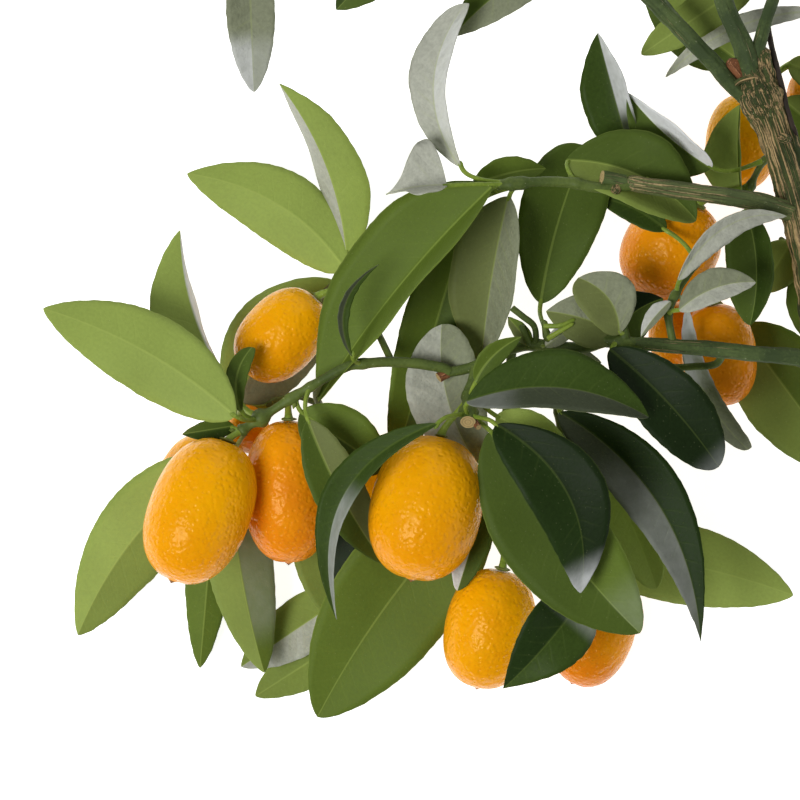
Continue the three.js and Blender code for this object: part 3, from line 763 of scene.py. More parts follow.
FRUITS = [
    Fruit((-50, -27.75, 46), (0.36, 0.9, -0.1), 37.5, 25.5, Peel.GOLD, "lower_left_spray"),
    Fruit((-28, -23, 34), (0, 1, 0.1), 36, 22.5, Peel.AMBER, "lower_left_spray"),
    Fruit((-30, 16.3, 29), (0.68, 0.72, 0.1), 26, 19.6, Peel.GOLD, "lower_left_spray"),
    Fruit((-52, -19.4, 9.9), (0.5, 0.85, 0.15), 21.5, 18.5, Peel.GOLD, "lower_left_spray"),
    Fruit((-38.2, -7.4, 23.5), (-0.2, 0.5, 0.8), 15, 10.5, Peel.AMBER, "lower_left_spray"),
    Fruit((6.5, -27, 46), (0.2, 0.95, -0.1), 36.5, 28, Peel.GOLD, "cluster_spray"),
    Fruit((22.5, -57.5, 34), (0.2, 0.95, 0.1), 30.5, 22.5, Peel.GOLD, "cluster_spray"),
    Fruit((49.3, -60.8, 10.9), (0.4, 0.8, 0.1), 25, 19, Peel.AMBER, "cluster_spray"),
    Fruit((68.25, 38, 25.5), (0.5, 0.8, 0.3), 27, 24, Peel.AMBER, "stem_right_spray"),
    Fruit((80.5, 11.3, 25.5), (-0.1, 0.95, 0.1), 26, 19, Peel.AMBER, "rear_right_spray"),
    Fruit((72.5, 13, 8.6), (-0.3, 0.9, 0.1), 25, 17, Peel.AMBER, "rear_right_spray"),
    Fruit((87, 65.6, 9.4), (0.1, 0.95, 0.1), 24.5, 18.5, Peel.GOLD, "rear_top_spray"),
    Fruit((108.6, 75, 10), (-0.5, 0.8, 0.1), 23, 18, Peel.AMBER, "rear_top_spray"),
    Fruit((-0.5, -24, 9.8), (-0.65, 0.68, 0.2), 25, 19, Peel.GOLD, "lower_left_spray"),
]


# The number of the fruit by which the layout is laid over the frame.
KEY_FRUIT = 6


def fruit_node(number: int) -> str:
    """The node of a fruit, by its number from 1."""
    return f"fruit_{number:02d}"


@dataclass(frozen=True)
class Stub:
    """A short side shoot, spur or snag."""

    path: list[Triple]
    from_radius: float
    to_radius: float
    skin: Skin
    cut: bool = False


STUBS = {
    "main_stem": [
        Stub([(86.5, 80.5, 39), (83.6, 84, 40.6), (82.6, 85.4, 41.4)], 1.9, 1.75, Skin.DEAD),
        Stub([(83.8, 79, 40.2), (85.6, 80.2, 41.6), (88.6, 80.8, 42.2), (91.4, 80, 40.8)],
             0.8, 0.6, Skin.BARK),
        Stub([(91.6, 77, 37.6), (91.4, 82, 38.6), (90.6, 87, 39.6), (90.3, 88.6, 40)],
             3.4, 1.9, Skin.BARK),
        Stub([(95, 66, 40), (96.5, 65.5, 43), (97.2, 65, 44.5)], 1.6, 1.1, Skin.BARK),
        # A thin old shoot in the stem's shadow: its dark colour is partly its own bark and partly painted
        # shade.
        Stub(
            [(92.4, 93.4, 36.5), (93.2, 89, 37.5), (94.2, 84.5, 39), (95.6, 79, 40), (97.2, 72, 40.6),
             (99.3, 66, 40)],
            0.8, 0.7, Skin.DARK,
        ),
    ],
    "upper_bough": [
        Stub([(56, 54.4, 47), (52.5, 55.2, 48), (50.4, 55.6, 48.6)], 1.9, 1.7, Skin.GREEN_BARK, True),
        Stub([(54, 53, 48), (53.6, 51.6, 50)], 1.4, 1.0, Skin.BARK),
    ],
    "cluster_spray": [
        Stub([(28, 23, 47), (30.8, 20.8, 46.5), (33.4, 18.6, 45.6), (34, 15.5, 44.6), (33.2, 13.4, 43.6)],
             0.85, 0.8, Skin.TWIG),
        Stub([(30.4, 18.6, 46), (31.2, 16.5, 45.5), (32.5, 13.5, 44.2)], 0.8, 0.75, Skin.TWIG),
        Stub([(36, 18.5, 47), (40, 18.6, 48), (43.75, 20.2, 48)], 0.7, 0.5, Skin.FRESH),
        Stub([(37, 15.4, 47), (40, 17.2, 48.4), (43.4, 19.2, 48.6)], 0.7, 0.45, Skin.FRESH),
        Stub([(11.8, 6.8, 41), (10.6, 6.2, 41.3), (9.6, 5.6, 41.6)], 1.35, 1.25, Skin.DEAD, True),
        Stub([(18, -4.5, 51), (19, -6, 53), (19.6, -6.8, 54)], 0.9, 0.8, Skin.DEAD, True),
    ],
}

# ---------- paths ----------


# Points on a curve before they are evenly spaced, and spacings along stubs, twigs and hooks.
SPAN_STEPS = 60
HOOK_STEPS = 40
STUB_PITCH = 0.4
TWIG_PITCH = 0.5
HOOK_PITCH = 0.7


def smooth_path(points: Sequence[Triple], step: float) -> np.ndarray:
    """Evenly spaced points on a smooth curve through all of the given points.

    Args:
        points: places on the path.
        step: spacing, in the same unit.

    Returns:
        Array of places, one to a row.
    """
    knots = np.array(points, dtype=float)
    knots = np.vstack([2 * knots[0] - knots[1], knots, 2 * knots[-1] - knots[-2]])
    dense = []
    for i in range(1, len(knots) - 2):
        before, start, end, after = knots[i - 1:i + 3]
        leave, arrive = (end - before) / 2, (after - start) / 2
        for w in np.linspace(0, 1, SPAN_STEPS, endpoint=False):
            dense.append(
                (2 * w**3 - 3 * w**2 + 1) * start + (w**3 - 2 * w**2 + w) * leave
                + (3 * w**2 - 2 * w**3) * end + (w**3 - w**2) * arrive
            )
    dense.append(knots[-2])
    return evenly(np.array(dense), step)


def evenly(points: np.ndarray, step: float) -> np.ndarray:
    """The same polyline with its points evenly spaced.

    Args:
        points: places on the polyline.
        step: spacing, in the same unit.

    Returns:
        Array of places, three at least.
    """
    runs = np.concatenate([[0], np.cumsum(np.linalg.norm(np.diff(points, axis=0), axis=1))])
    places = np.linspace(0, runs[-1], max(3, int(round(runs[-1] / step)) + 1))
    return np.stack([np.interp(places, runs, points[:, k]) for k in range(3)], axis=1)


def hook(
    start: np.ndarray, leave: np.ndarray, end: np.ndarray, arrive: np.ndarray, bend: float = 0.36
) -> np.ndarray:
    """A curve from one place to another that leaves and arrives in given directions.

    Args:
        start: first place.
        leave: direction at the first place.
        end: last place.
        arrive: direction at the last place.
        bend: share of the distance over which each direction holds.

    Returns:
        Array of places.
    """
    reach = np.linalg.norm(end - start) * bend
    w = np.linspace(0, 1, HOOK_STEPS)[:, None]
    first, last = start + leave * reach, end - arrive * reach
    curve = (1 - w)**3 * start + 3 * (1 - w)**2 * w * first + 3 * (1 - w) * w**2 * last + w**3 * end
    return evenly(curve, HOOK_PITCH)


def tapered(limb: Limb | Stub, count: int) -> np.ndarray:
    """The radii of a limb at some evenly spaced places."""
    return np.linspace(limb.from_radius, limb.to_radius, count)


def unit(vector: np.ndarray) -> np.ndarray:
    """The vector at length 1."""
    return vector / np.linalg.norm(vector)


# A place and the direction that a knob there points in.
Spot = tuple[np.ndarray, np.ndarray]


@dataclass
class Root:
    """Where a petiole or stalk springs from a twig."""

    place: np.ndarray
    along: np.ndarray
    twig: int


@dataclass
class Twigs:
    """The centre lines and radii of a spray's twigs, in millimetres."""

    lines: list[np.ndarray]
    radii: list[np.ndarray]
    slant: float = 0.4
    swell_reach: float = 1.3

    @classmethod
    def along(cls, limbs: Sequence[Limb]) -> "Twigs":
        """The lines and radii of a row of limbs."""
        lines = [smooth_path(limb.path, TWIG_PITCH) for limb in limbs]
        return cls(lines, [tapered(limb, len(line)) for limb, line in zip(limbs, lines)])

    def root(self, end: np.ndarray) -> Root:
        """Finds where a stalk springs from: the nearest place on the twigs, then lower by the slant.

        Args:
            end: the stalk's other end.

        Returns:
            The root.
        """
        gaps = [np.linalg.norm(line - end, axis=1) for line in self.lines]
        twig = int(np.argmin([gap.min() for gap in gaps]))
        line, nearest = self.lines[twig], int(np.argmin(gaps[twig]))
        step = np.linalg.norm(line[1] - line[0])
        index = min(max(int(round(nearest - self.slant * gaps[twig].min() / step)), 0), len(line) - 1)
        low = max(index - 1, 0)
        return Root(line[index], unit(line[low + 1] - line[low]), twig)

    def swell(self, root: Root, by: float) -> None:
        """Thickens a twig at the root of a stalk."""
        gaps = np.linalg.norm(self.lines[root.twig] - root.place, axis=1)
        self.radii[root.twig] += by * np.exp(-((gaps / self.swell_reach) ** 2))


@dataclass(frozen=True)
class StalkForm:
    """Radius of a thin stalk in the middle, and how far it widens at its root and at its end."""

    middle: float
    root: float
    end: float
    root_fade: float
    end_fade: float
    twig_swell: float

    def radii(self, count: int) -> np.ndarray:
        """The radius at each of some evenly spaced places.

        Args:
            count: how many places.

        Returns:
            The radii, from the root on.
        """
        share = np.linspace(0, 1, count)
        widening = self.root * np.exp(-share * self.root_fade)
        return self.middle + widening + self.end * np.exp(-(1 - share) * self.end_fade)


PETIOLE = StalkForm(middle=0.56, root=0.4, end=0.12, root_fade=9, end_fade=7, twig_swell=0.28)
FRUIT_STALK = StalkForm(middle=0.82, root=0.45, end=0.5, root_fade=8, end_fade=8, twig_swell=0.5)


@dataclass(frozen=True)
class Layout:
    """Lays the rows over the frame."""

    shift: np.ndarray

    @classmethod
    def over(cls, node: str, centre: Triple) -> "Layout":
        """The layout that puts a row's centre on the middle of a node."""
        low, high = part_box(node)
        return cls((np.array(low) + np.array(high)) / 2 - np.array(centre) * MM)

    def place(self, points: Any) -> np.ndarray:
        """Points in millimetres as places in the frame."""
        return np.array(points, dtype=float) * MM + self.shift


# ---------- finishes ----------


class Shader(Graph):
    """A material's nodes."""

    def __init__(self, name: str, gloss: dict[str, Any]) -> None:
        """Starts a material.

        Args:
            name: the material's name.
            gloss: constants for the surface's own sockets.
        """
        self.material = bpy.data.materials.new(name)
        self.material.use_nodes = True
        super().__init__(self.material.node_tree)
        self.surface = self.tree.nodes["Principled BSDF"]
        for key, value in gloss.items():
            self.surface.inputs[key].default_value = value

    def attribute(self, name: str, output: str = "Vector") -> Wire:
        """An attribute of the piece, as a vector or, from the output Fac, as a number."""
        return self.out("ShaderNodeAttribute", output=output, attribute_name=name)

    def place(self) -> Wire:
        """Place on the object."""
        return self.out("ShaderNodeTexCoord", output="Object")

    def cells(self, place: Wire, scale: float, smoothness: float = 0.0) -> Wire:
        """Distance from the nearest of many scattered places, in shares of a cell.

        Args:
            place: place on the object.
            scale: number of cells to a metre.
            smoothness: how softly one cell runs into the next, 0 for not at all.

        Returns:
            The distance.
        """
        feeds = {"Vector": place, "Scale": scale}
        if not smoothness:
            return self.out("ShaderNodeTexVoronoi", feeds, "Distance")
        feeds["Smoothness"] = smoothness
        return self.out("ShaderNodeTexVoronoi", feeds, "Distance", feature="SMOOTH_F1")

    def bump(self, height: Wire, distance: float, strength: float = 1.0) -> Wire:
        """A relief of a height from 0 to 1 over a distance."""
        return self.out("ShaderNodeBump", {"Height": height, "Distance": distance, "Strength": strength})

    def finish(self, tint: Wire, relief: Wire, roughness: Wire | None = None) -> bpy.types.Material:
        """Wires the surface's sockets.

        Args:
            tint: colour.
            relief: normal.
            roughness: roughness, where it varies.

        Returns:
            The material.
        """
        feeds = {"Base Color": tint, "Normal": relief, "Roughness": roughness}
        for key, wire in feeds.items():
            if wire is not None:
                self.tree.links.new(wire.socket, self.surface.inputs[key])
        return self.material


@dataclass(frozen=True)
class LeafLook:
    """How strongly the marks show on a leaf. The relief is in metres."""

    specular: float = 0.12
    roughness: float = 0.58
    grain: float = 0.26
    veins: float = 0.07
    rib: float = 0.6
    edge: float = 0.45
    pale_share: float = 0.5
    relief: float = 0.00016
    quilted: bool = False


PLAIN_LOOK = LeafLook()
DARK_LOOK = LeafLook(specular=0.08, roughness=0.48, grain=0.5, rib=0.2, edge=0.3)
GREY_LOOK = LeafLook(grain=0.5, veins=0.36, pale_share=0.3, relief=0.0003, quilted=True)
LOOKS = {
    Tone.DARK: DARK_LOOK,
    Tone.INK: DARK_LOOK,
    Tone.DEEP: DARK_LOOK,
    Tone.ASH: DARK_LOOK,
    Tone.MIST: GREY_LOOK,
    Tone.SILVER: GREY_LOOK,
    Tone.FROST: GREY_LOOK,
}


@dataclass(frozen=True)
class LeafFinish:
    """Leathery blade with a pale midrib, faint side veins, oil dots, a pale margin and painted sheen."""

    tone: Tone
    vein_pitch: float = 0.0046
    vein_slant: float = 0.75
    rib_tip: float = 0.00012
    rib_taper: float = 0.00024
    broad_scale: float = 55.0
    grain_scale: float = 1300.0
    gland_scale: float = 700.0
    # Scale of the painted sheen's patches.
    painted_sheen_scale: float = 420.0
    crinkle_scale: float = 460.0
    vein_tint: Triple = (170, 186, 96)
    gland_tint: Triple = (196, 200, 150)
    # Colour of the painted sheen, a pale grey highlight.
    painted_sheen_tint: Triple = (224, 226, 226)

    def material(self) -> bpy.types.Material:
        """Builds the material.

        Returns:
            The material, which reads the blade's own attributes "reach" and "share" and the strength of
            its painted sheen.
        """
        look = LOOKS.get(self.tone, PLAIN_LOOK)
        shader = Shader(f"leaf_{self.tone.name.lower()}", {"Specular IOR Level": look.specular})
        run, across, seed = shader.split(shader.attribute("reach"))
        along, side, _ = shader.split(shader.attribute("share"))
        painted_sheen = shader.attribute("painted_sheen", "Fac")
        off, side = shader.math("ABSOLUTE", across), shader.math("ABSOLUTE", side)
        place = shader.combine(run + seed * 3.0, across, seed)
        # Broad changes of green, fine leathery grain and the specks of the oil glands.
        broad = shader.noise(place, self.broad_scale, 3.0)
        grain = shader.noise(place, self.grain_scale, 3.0)
        specks = shader.ramp(shader.cells(place, self.gland_scale), 0.16, 0.05)
        # The midrib narrows to the tip, and the side veins leave it at a slant and fade out.
        rib = shader.ramp(off / ((1.0 - along) * self.rib_taper + self.rib_tip), 1.5, 0.6)
        phase = (run - off * self.vein_slant + (broad - 0.5) * 0.005) / self.vein_pitch
        comb = shader.math("ABSOLUTE", shader.math("FRACT", phase) - 0.5)
        veins = shader.ramp(comb, 0.11, 0.0) * shader.ramp(side, 0.9, 0.3) * shader.ramp(broad, 0.35, 0.6)
        edge = shader.ramp(side, 0.965, 1.0)
        # The marks go on one after another, and painted sheen, a highlight laid into the colour, lies
        # over them in patches.
        base = self.scaled(shader, (broad - 0.5) * 0.34 + (grain - 0.5) * look.grain + 1.0)
        pale = self.towards(self.vein_tint, look.pale_share)
        veined = shader.blend(veins * look.veins, base, pale)
        dotted = shader.blend(specks * 0.16, veined, self.towards(self.gland_tint, 0.6))
        ribbed = shader.blend(rib * look.rib, dotted, pale)
        edged = shader.blend(edge * look.edge, ribbed, pale)
        # Painted sheen: a pale grey highlight laid over the colour in noisy patches.
        patchy = painted_sheen * (shader.noise(place, self.painted_sheen_scale, 3.0) * 0.7 + 0.62)
        with_painted_sheen = shader.blend(shader.math("MINIMUM", patchy, 0.95), edged, shown(self.painted_sheen_tint))
        height = grain * 0.5 + broad * 0.5 + veins * 0.25 + specks * 0.3
        if look.quilted:
            # This face is quilted between its side veins and finely crinkled.
            crinkle = shader.noise(place, self.crinkle_scale, 3.0)
            height = height + comb * 1.6 + crinkle * 1.8
        rough = (grain - 0.5) * 0.16 + look.roughness
        return shader.finish(with_painted_sheen, shader.bump(height, look.relief, 0.8), rough)

    def scaled(self, shader: Shader, gain: Wire) -> Wire:
        """The tone times a gain."""
        feeds = {0: shown(self.tone.value)[:3], "Scale": gain}
        return shader.out("ShaderNodeVectorMath", feeds, operation="SCALE")

    def towards(self, tint: Triple, share: float) -> Colour:
        """The tone mixed with a share of another tint."""
        return shown(np.array(self.tone.value) * (1 - share) + np.array(tint) * share)


@dataclass(frozen=True)
class BarkFinish:
    """Green bark with dry grey-brown or straw streaks, in the same grain as the relief.

    Cover is how much of the bark the streaks take up, and width and length are those of a streak.
    """

    name: str
    green: Triple
    shade: Triple
    streak: Triple
    cover: float
    width: float
    length: float
    roughness: float = 0.7
    fleck: float = 0.3
    fleck_tint: Triple = (196, 196, 168)
    bare: float = 0.66
    rim: float = 0.05
    rim_shade: float = 0.55
    streak_shade: float = 0.62
    patch_scale: float = 85.0
    fine_scale: float = 1500.0

    def material(self) -> bpy.types.Material:
        """Builds the material.

        Returns:
            The material, which reads the shoot's own attribute "grain".
        """
        shader = Shader(self.name, {"Specular IOR Level": 0.25})
        grain = shader.attribute("grain")
        broad = grain_noise(shader, grain, (self.width, self.width, self.length))
        thin = self.width * 0.33
        narrow = grain_noise(shader, grain, (thin, thin, self.length * 0.5))
        patch = shader.noise(grain, self.patch_scale, 3.0)
        fine = shader.noise(grain, self.fine_scale, 3.0)
        # Green bark shows between the dry streaks, darker along their rims.
        band = broad * 0.62 + narrow * 0.38 + (patch - 0.5) * 0.35
        limit = self.bare - self.cover
        dry = shader.ramp(band, limit, limit + self.rim)
        mixed = shader.ramp(patch + (fine - 0.5) * 0.3, 0.35, 0.65)
        green = shader.blend(mixed, shown(self.shade), shown(self.green))
        rim = shader.ramp(band, limit - self.rim, limit) * (1.0 - dry)
        furrowed = shader.blend(rim * 0.5, green, shown(self.rim_shade * np.array(self.shade)))
        worn = shader.ramp(narrow + (fine - 0.5) * 0.5, 0.35, 0.65)
        tone = shader.blend(worn, shown(self.streak_shade * np.array(self.streak)), shown(self.streak))
        streaked = shader.blend(dry * 0.95, furrowed, tone)
        flecks = shader.ramp(fine, 0.68, 0.75) * self.fleck
        flecked = shader.blend(flecks, streaked, shown(self.fleck_tint))
        rough = (fine - 0.5) * 0.2 + self.roughness
        return shader.finish(flecked, shader.bump(fine * 0.35 + dry * 0.9, 0.0003), rough)


SKIN_FINISHES = {
    Skin.BARK: BarkFinish(
        "bark", (82, 92, 46), (50, 60, 30), (182, 154, 108),
        cover=0.165, width=0.00048, length=0.024, roughness=0.8),
    Skin.GREEN_BARK: BarkFinish(
        "green_bark", (82, 98, 53), (54, 69, 36), (172, 154, 110),
        cover=0.055, width=0.00045, length=0.02),
    Skin.OLD_BARK: BarkFinish(
        "old_bark", (106, 116, 68), (76, 88, 50), (184, 162, 116),
        cover=0.13, width=0.00048, length=0.02),
    Skin.TWIG: BarkFinish(
        "green_twig", (92, 108, 47), (66, 82, 33), (128, 138, 84),
        cover=-0.02, width=0.0005, length=0.009, roughness=0.55),
    Skin.FRESH: BarkFinish(
        "fresh_stalk", (136, 156, 58), (102, 124, 40), (160, 172, 92),
        cover=-0.02, width=0.0005, length=0.009, roughness=0.5),
    Skin.DEAD: BarkFinish(
        "dead_wood", (132, 84, 52), (92, 58, 36), (194, 134, 92),
        cover=0.1, width=0.0006, length=0.006),
    # The thin shoot in the stem's shadow: dark purple-brown, partly its own bark and partly painted
    # shade.
    Skin.DARK: BarkFinish(
        "dark_shoot", (58, 46, 38), (36, 32, 26), (104, 84, 68),
        cover=0.0, width=0.0006, length=0.012),
}


@dataclass(frozen=True)
class CutFinish:
    """End grain with rings and a fine tooth."""

    name: str
    wood: Triple
    ring: Triple
    ring_rate: float = 9000.0
    fine_scale: float = 1800.0

    def material(self) -> bpy.types.Material:
        """Builds the material.

        Returns:
            The material, which reads the shoot's own attribute "grain".
        """
        shader = Shader(self.name, {"Roughness": 0.8, "Specular IOR Level": 0.25})
        across, over, _ = shader.split(shader.attribute("grain"))
        fine = shader.noise(shader.place(), self.fine_scale, 3.0)
        turns = shader.radius(across, over) * self.ring_rate + fine * 3.0
        ring = shader.math("SINE", turns) * 0.5 + 0.5
        tint = shader.blend(ring * 0.5 + fine * 0.3, shown(self.wood), shown(self.ring))
        return shader.finish(tint, shader.bump(fine, 0.0002))


@dataclass(frozen=True)
class PeelFinish:
    """Glossy peel with oil glands, a deeper tint at its far end and a brown scar there."""

    peel: Peel
    patch_scale: float = 70.0
    fine_scale: float = 1100.0
    gland_scale: float = 800.0
    lump_scale: float = 430.0
    gland_tint: Triple = (244, 176, 30)
    mottle_tint: Triple = (190, 96, 8)
    scar_tint: Triple = (96, 56, 20)
    collar_tint: Triple = (176, 160, 36)

    def material(self) -> bpy.types.Material:
        """Builds the material.

        Returns:
            The material, which reads the fruit's own attribute "unit_place".
        """
        shader = Shader(f"peel_{self.peel.name.lower()}", {
            "Specular IOR Level": 0.2,
            "Specular Tint": (1.0, 0.82, 0.42, 1.0),
            "Subsurface Weight": 0.06,
            "Subsurface Scale": 0.002,
            "Subsurface Radius": (1.0, 0.4, 0.05),
        })
        near, far = (shown(tint) for tint in self.peel.value)
        place = shader.place()
        left, front, height = shader.split(shader.attribute("unit_place"))
        off_axis = shader.radius(left, front)
        patch = shader.noise(place, self.patch_scale, 3.0)
        fine = shader.noise(place, self.fine_scale, 2.0)
        glands = shader.cells(place, self.gland_scale, smoothness=0.8)
        pit = shader.ramp(glands, 0.5, 0.1)
        # The tint deepens to the far end, and its glands and mottling lie over it.
        turn = shader.ramp(height * 0.45 + (patch - 0.5) * 1.3, 0.4, -0.6)
        dotted = shader.blend(pit * 0.12, shader.blend(turn, near, far), shown(self.gland_tint))
        mottle = shader.ramp(fine + (patch - 0.5) * 0.5, 0.54, 0.7)
        browned = shader.blend(mottle * turn * 0.25, dotted, shown(self.mottle_tint))
        # A scar at the far end and a greenish ring round the stalk.
        scar = shader.ramp(off_axis + (fine - 0.5) * 0.04, 0.085, 0.05) * shader.ramp(height, 0.0, -0.4)
        scarred = shader.blend(scar * 0.9, browned, shown(self.scar_tint))
        collar = shader.ramp(off_axis + (fine - 0.5) * 0.1, 0.24, 0.1) * shader.ramp(height, 0.0, 0.4)
        ringed = shader.blend(collar * 0.6, scarred, shown(self.collar_tint))
        lumps = shader.noise(place, self.lump_scale, 1.0)
        relief = lumps * 0.9 - pit * 0.25 + fine * 0.08
        return shader.finish(ringed, shader.bump(relief, 0.0006, 0.75), (fine - 0.5) * 0.1 + 0.24)


@dataclass(frozen=True)
class PlainFinish:
    """One soft colour with a fine grain, for buds, calyxes and the floor."""

    name: str
    tint: Triple
    roughness: float = 0.6
    variation: float = 0.35
    glow: float = 0.0
    fine_scale: float = 500.0

    def material(self) -> bpy.types.Material:
        """Builds the material.

        Returns:
            The material.
        """
        shader = Shader(self.name, {
            "Roughness": self.roughness,
            "Specular IOR Level": 0.3,
            "Emission Strength": self.glow,
            "Emission Color": (1.0, 1.0, 1.0, 1.0),
        })
        fine = shader.noise(shader.place(), self.fine_scale, 3.0)
        low = [channel * (1 - self.variation) for channel in self.tint]
        tint = shader.blend(fine, shown(low), shown(self.tint))
        return shader.finish(tint, shader.bump(fine, 0.0002, 0.6))


# ---------- makers ----------


@dataclass(frozen=True)
class LeafMaker:
    """Geometry Nodes that turn one point to a leaf: blade, folded halves, waves and thickness."""

    finishes: dict[Tone, bpy.types.Material]
    stations: int = 72
    columns: int = 15
    base_power: float = 0.62
    even_share: float = 0.45
    tooth_rate: float = 1950.0
    bite_scale: float = 230.0
    bite_depth: float = 12.0
    fold_power: float = 0.22
    wave_turns: float = 13.0
    usual_half_width: float = 0.010
    rib_half_width: float = 0.00042
    rib_above: float = -0.35
    rib_thinning: float = 0.85
    margin_thinning: float = 0.5
    # How softly the painted sheen fades in and out along a leaf.
    painted_sheen_out: float = 0.12
    painted_sheen_in: float = 0.06
    margin_level: float = -0.2
    weld: float = 1e-6

    def maker(self) -> Maker:
        """Builds the tree.

        Returns:
            The tree, with the blade's thickness, wave, tooth and rib as named inputs.
        """
        graph = Maker("leaf blades")
        thickness = graph.size("Thickness", 0.00034)
        wave = graph.size("Wave", 0.0005)
        tooth = graph.size("Tooth", 0.00005)
        rib = graph.size("Rib", 0.0003)
        block = graph.out("GeometryNodeMeshCube", {
            "Size": (1.0, 2.0, 2.0), "Vertices X": self.stations, "Vertices Y": self.columns,
            "Vertices Z": 2,
        })
        # Stations crowd towards both ends, and columns towards the midrib.
        x, y, h = graph.split(graph.out("GeometryNodeInputPosition"))
        x = x + 0.5
        eased = 0.5 - graph.math("COSINE", x * math.pi) * 0.5
        t = x * self.even_share + eased * (1.0 - self.even_share)
        u = y * graph.math("SQRT", graph.math("ABSOLUTE", y))
        leaves = graph.copies(graph.keep(block, "share", graph.combine(t, u, h)))
        bent = self.painted_sheen(graph, self.bend(graph, leaves, thickness, wave, tooth, rib))
        welded = graph.out("GeometryNodeMergeByDistance", {"Geometry": bent, "Distance": self.weld})
        graph.close(self.dress(graph, welded))
        return graph

    def outline(self, graph: Maker, t: Wire, point: Wire) -> Wire:
        """Half the width of a leaf, 1 where it is widest.

        Args:
            graph: the tree.
            t: share of the length.
            point: how sharply the leaf closes at its tip.

        Returns:
            Share of the half width.
        """
        widest = graph.math("DIVIDE", self.base_power, point + self.base_power)
        peak = widest ** self.base_power * (1.0 - widest) ** point
        return t ** self.base_power * graph.math("MAXIMUM", 1.0 - t, 0.0) ** point / peak

    def bend(
        self, graph: Maker, leaves: Wire, thickness: Wire, wave: Wire, tooth: Wire, rib: Wire
    ) -> Wire:
        """Lays every leaf's points on its folded and waved blade.

        Args:
            graph: the tree.
            leaves: blocks with their share of the blade and their leaf's attributes.
            thickness: full thickness of a blade.
            wave: height of the waves along the margin.
            tooth: depth of the teeth on the margin.
            rib: how far the midrib stands out underneath.

        Returns:
            The leaves in place, with "reach" in metres for their pattern.
        """
        t, u, h = graph.split(graph.read_vector("share"))
        half_width, fold, seed = graph.split(graph.read_vector("spread"))
        bow, sway, point = graph.split(graph.read_vector("bend"))
        chord = graph.read_vector("chord")
        run = t * graph.vector("LENGTH", chord, output="Value")
        away = graph.math("ABSOLUTE", u)
        sign = graph.math("SIGN", u)
        profile = self.outline(graph, t, point)
        teeth = graph.math("SINE", (run * self.tooth_rate) + seed * 40.0 + sign * 1.7)
        bite = graph.noise(graph.combine(run, seed * 9.0, sign), self.bite_scale) - 0.5
        rim = graph.math("MINIMUM", profile * 4.0, 1.0)
        half = half_width * profile + (teeth * tooth + bite * tooth * self.bite_depth) * rim * away
        across = away * half
        # Each half rises by the fold and waves at its margin, and the whole blade bows and sways.
        arch = t * (1.0 - t) * 4.0
        rise = graph.math("SINE", fold) * across * away ** self.fold_power
        swing = graph.math("SINE", t * self.wave_turns + seed * 30.0 + sign * 1.1)
        rise = rise + swing * wave * away * away * arch * (half_width / self.usual_half_width)
        # The midrib stands out below, and a third as far above, and thins out towards the tip.
        ridge = graph.bell(across, self.rib_half_width) * (1.0 - t * self.rib_thinning)
        over, under = graph.math("MAXIMUM", h, 0.0), graph.math("MAXIMUM", h * -1.0, 0.0)
        stand = under * rib + over * rib * self.rib_above
        body = h * thickness * 0.5 * (1.0 - away ** 6.0 * self.margin_thinning)
        lift = rise + arch * bow + body - ridge * stand
        slide = graph.math("COSINE", fold) * across * sign + arch * sway
        place = graph.read_vector("base") + chord * t
        place = place + graph.read_vector("face") * lift + graph.read_vector("side") * slide
        moved = graph.move(leaves, Position=place)
        return graph.keep(moved, "reach", graph.combine(run, across * sign, seed))

    def painted_sheen(self, graph: Maker, leaves: Wire) -> Wire:
        """Notes how much painted sheen shows, by each leaf's halves and the stretch that has it.

        Args:
            graph: the tree.
            leaves: the leaves in place.

        Returns:
            The leaves with the strength of their painted sheen, from 0 up.
        """
        t, u, _ = graph.split(graph.read_vector("share"))
        left, right, _ = graph.split(graph.read_vector("gleam"))
        start, end, _ = graph.split(graph.read_vector("gleam_span"))
        strength = left + (right - left) * graph.math("GREATER_THAN", u, 0.0)
        rising = graph.ramp(t, start - self.painted_sheen_out, start + self.painted_sheen_in)
        falling = graph.ramp(t, end + self.painted_sheen_out, end - self.painted_sheen_in)
        return graph.keep(leaves, "painted_sheen", strength * rising * falling, "FLOAT")

    def dress(self, graph: Maker, leaves: Wire) -> Wire:
        """Gives each half of each face its tone.

        Args:
            graph: the tree.
            leaves: the leaves in place.

        Returns:
            The leaves with their materials.
        """
        _, u, h = graph.split(graph.read_vector("share"))
        right = graph.math("GREATER_THAN", u, 0.0)
        faces = []
        for name in ("upper_tones", "lower_tones"):
            left_tone, right_tone, _ = graph.split(graph.read_vector(name))
            faces.append(left_tone + (right_tone - left_tone) * right)
        above, below = faces
        pick = below + (above - below) * graph.math("GREATER_THAN", h, self.margin_level)
        for index, tone in enumerate(Tone):
            leaves = graph.dress(leaves, self.finishes[tone], graph.is_number(pick, index))
        return leaves


@dataclass
class Strand:
    """A shoot as points in millimetres with a radius at each, and what covers it."""

    points: np.ndarray
    radii: np.ndarray
    skin: Skin
    open_end: bool


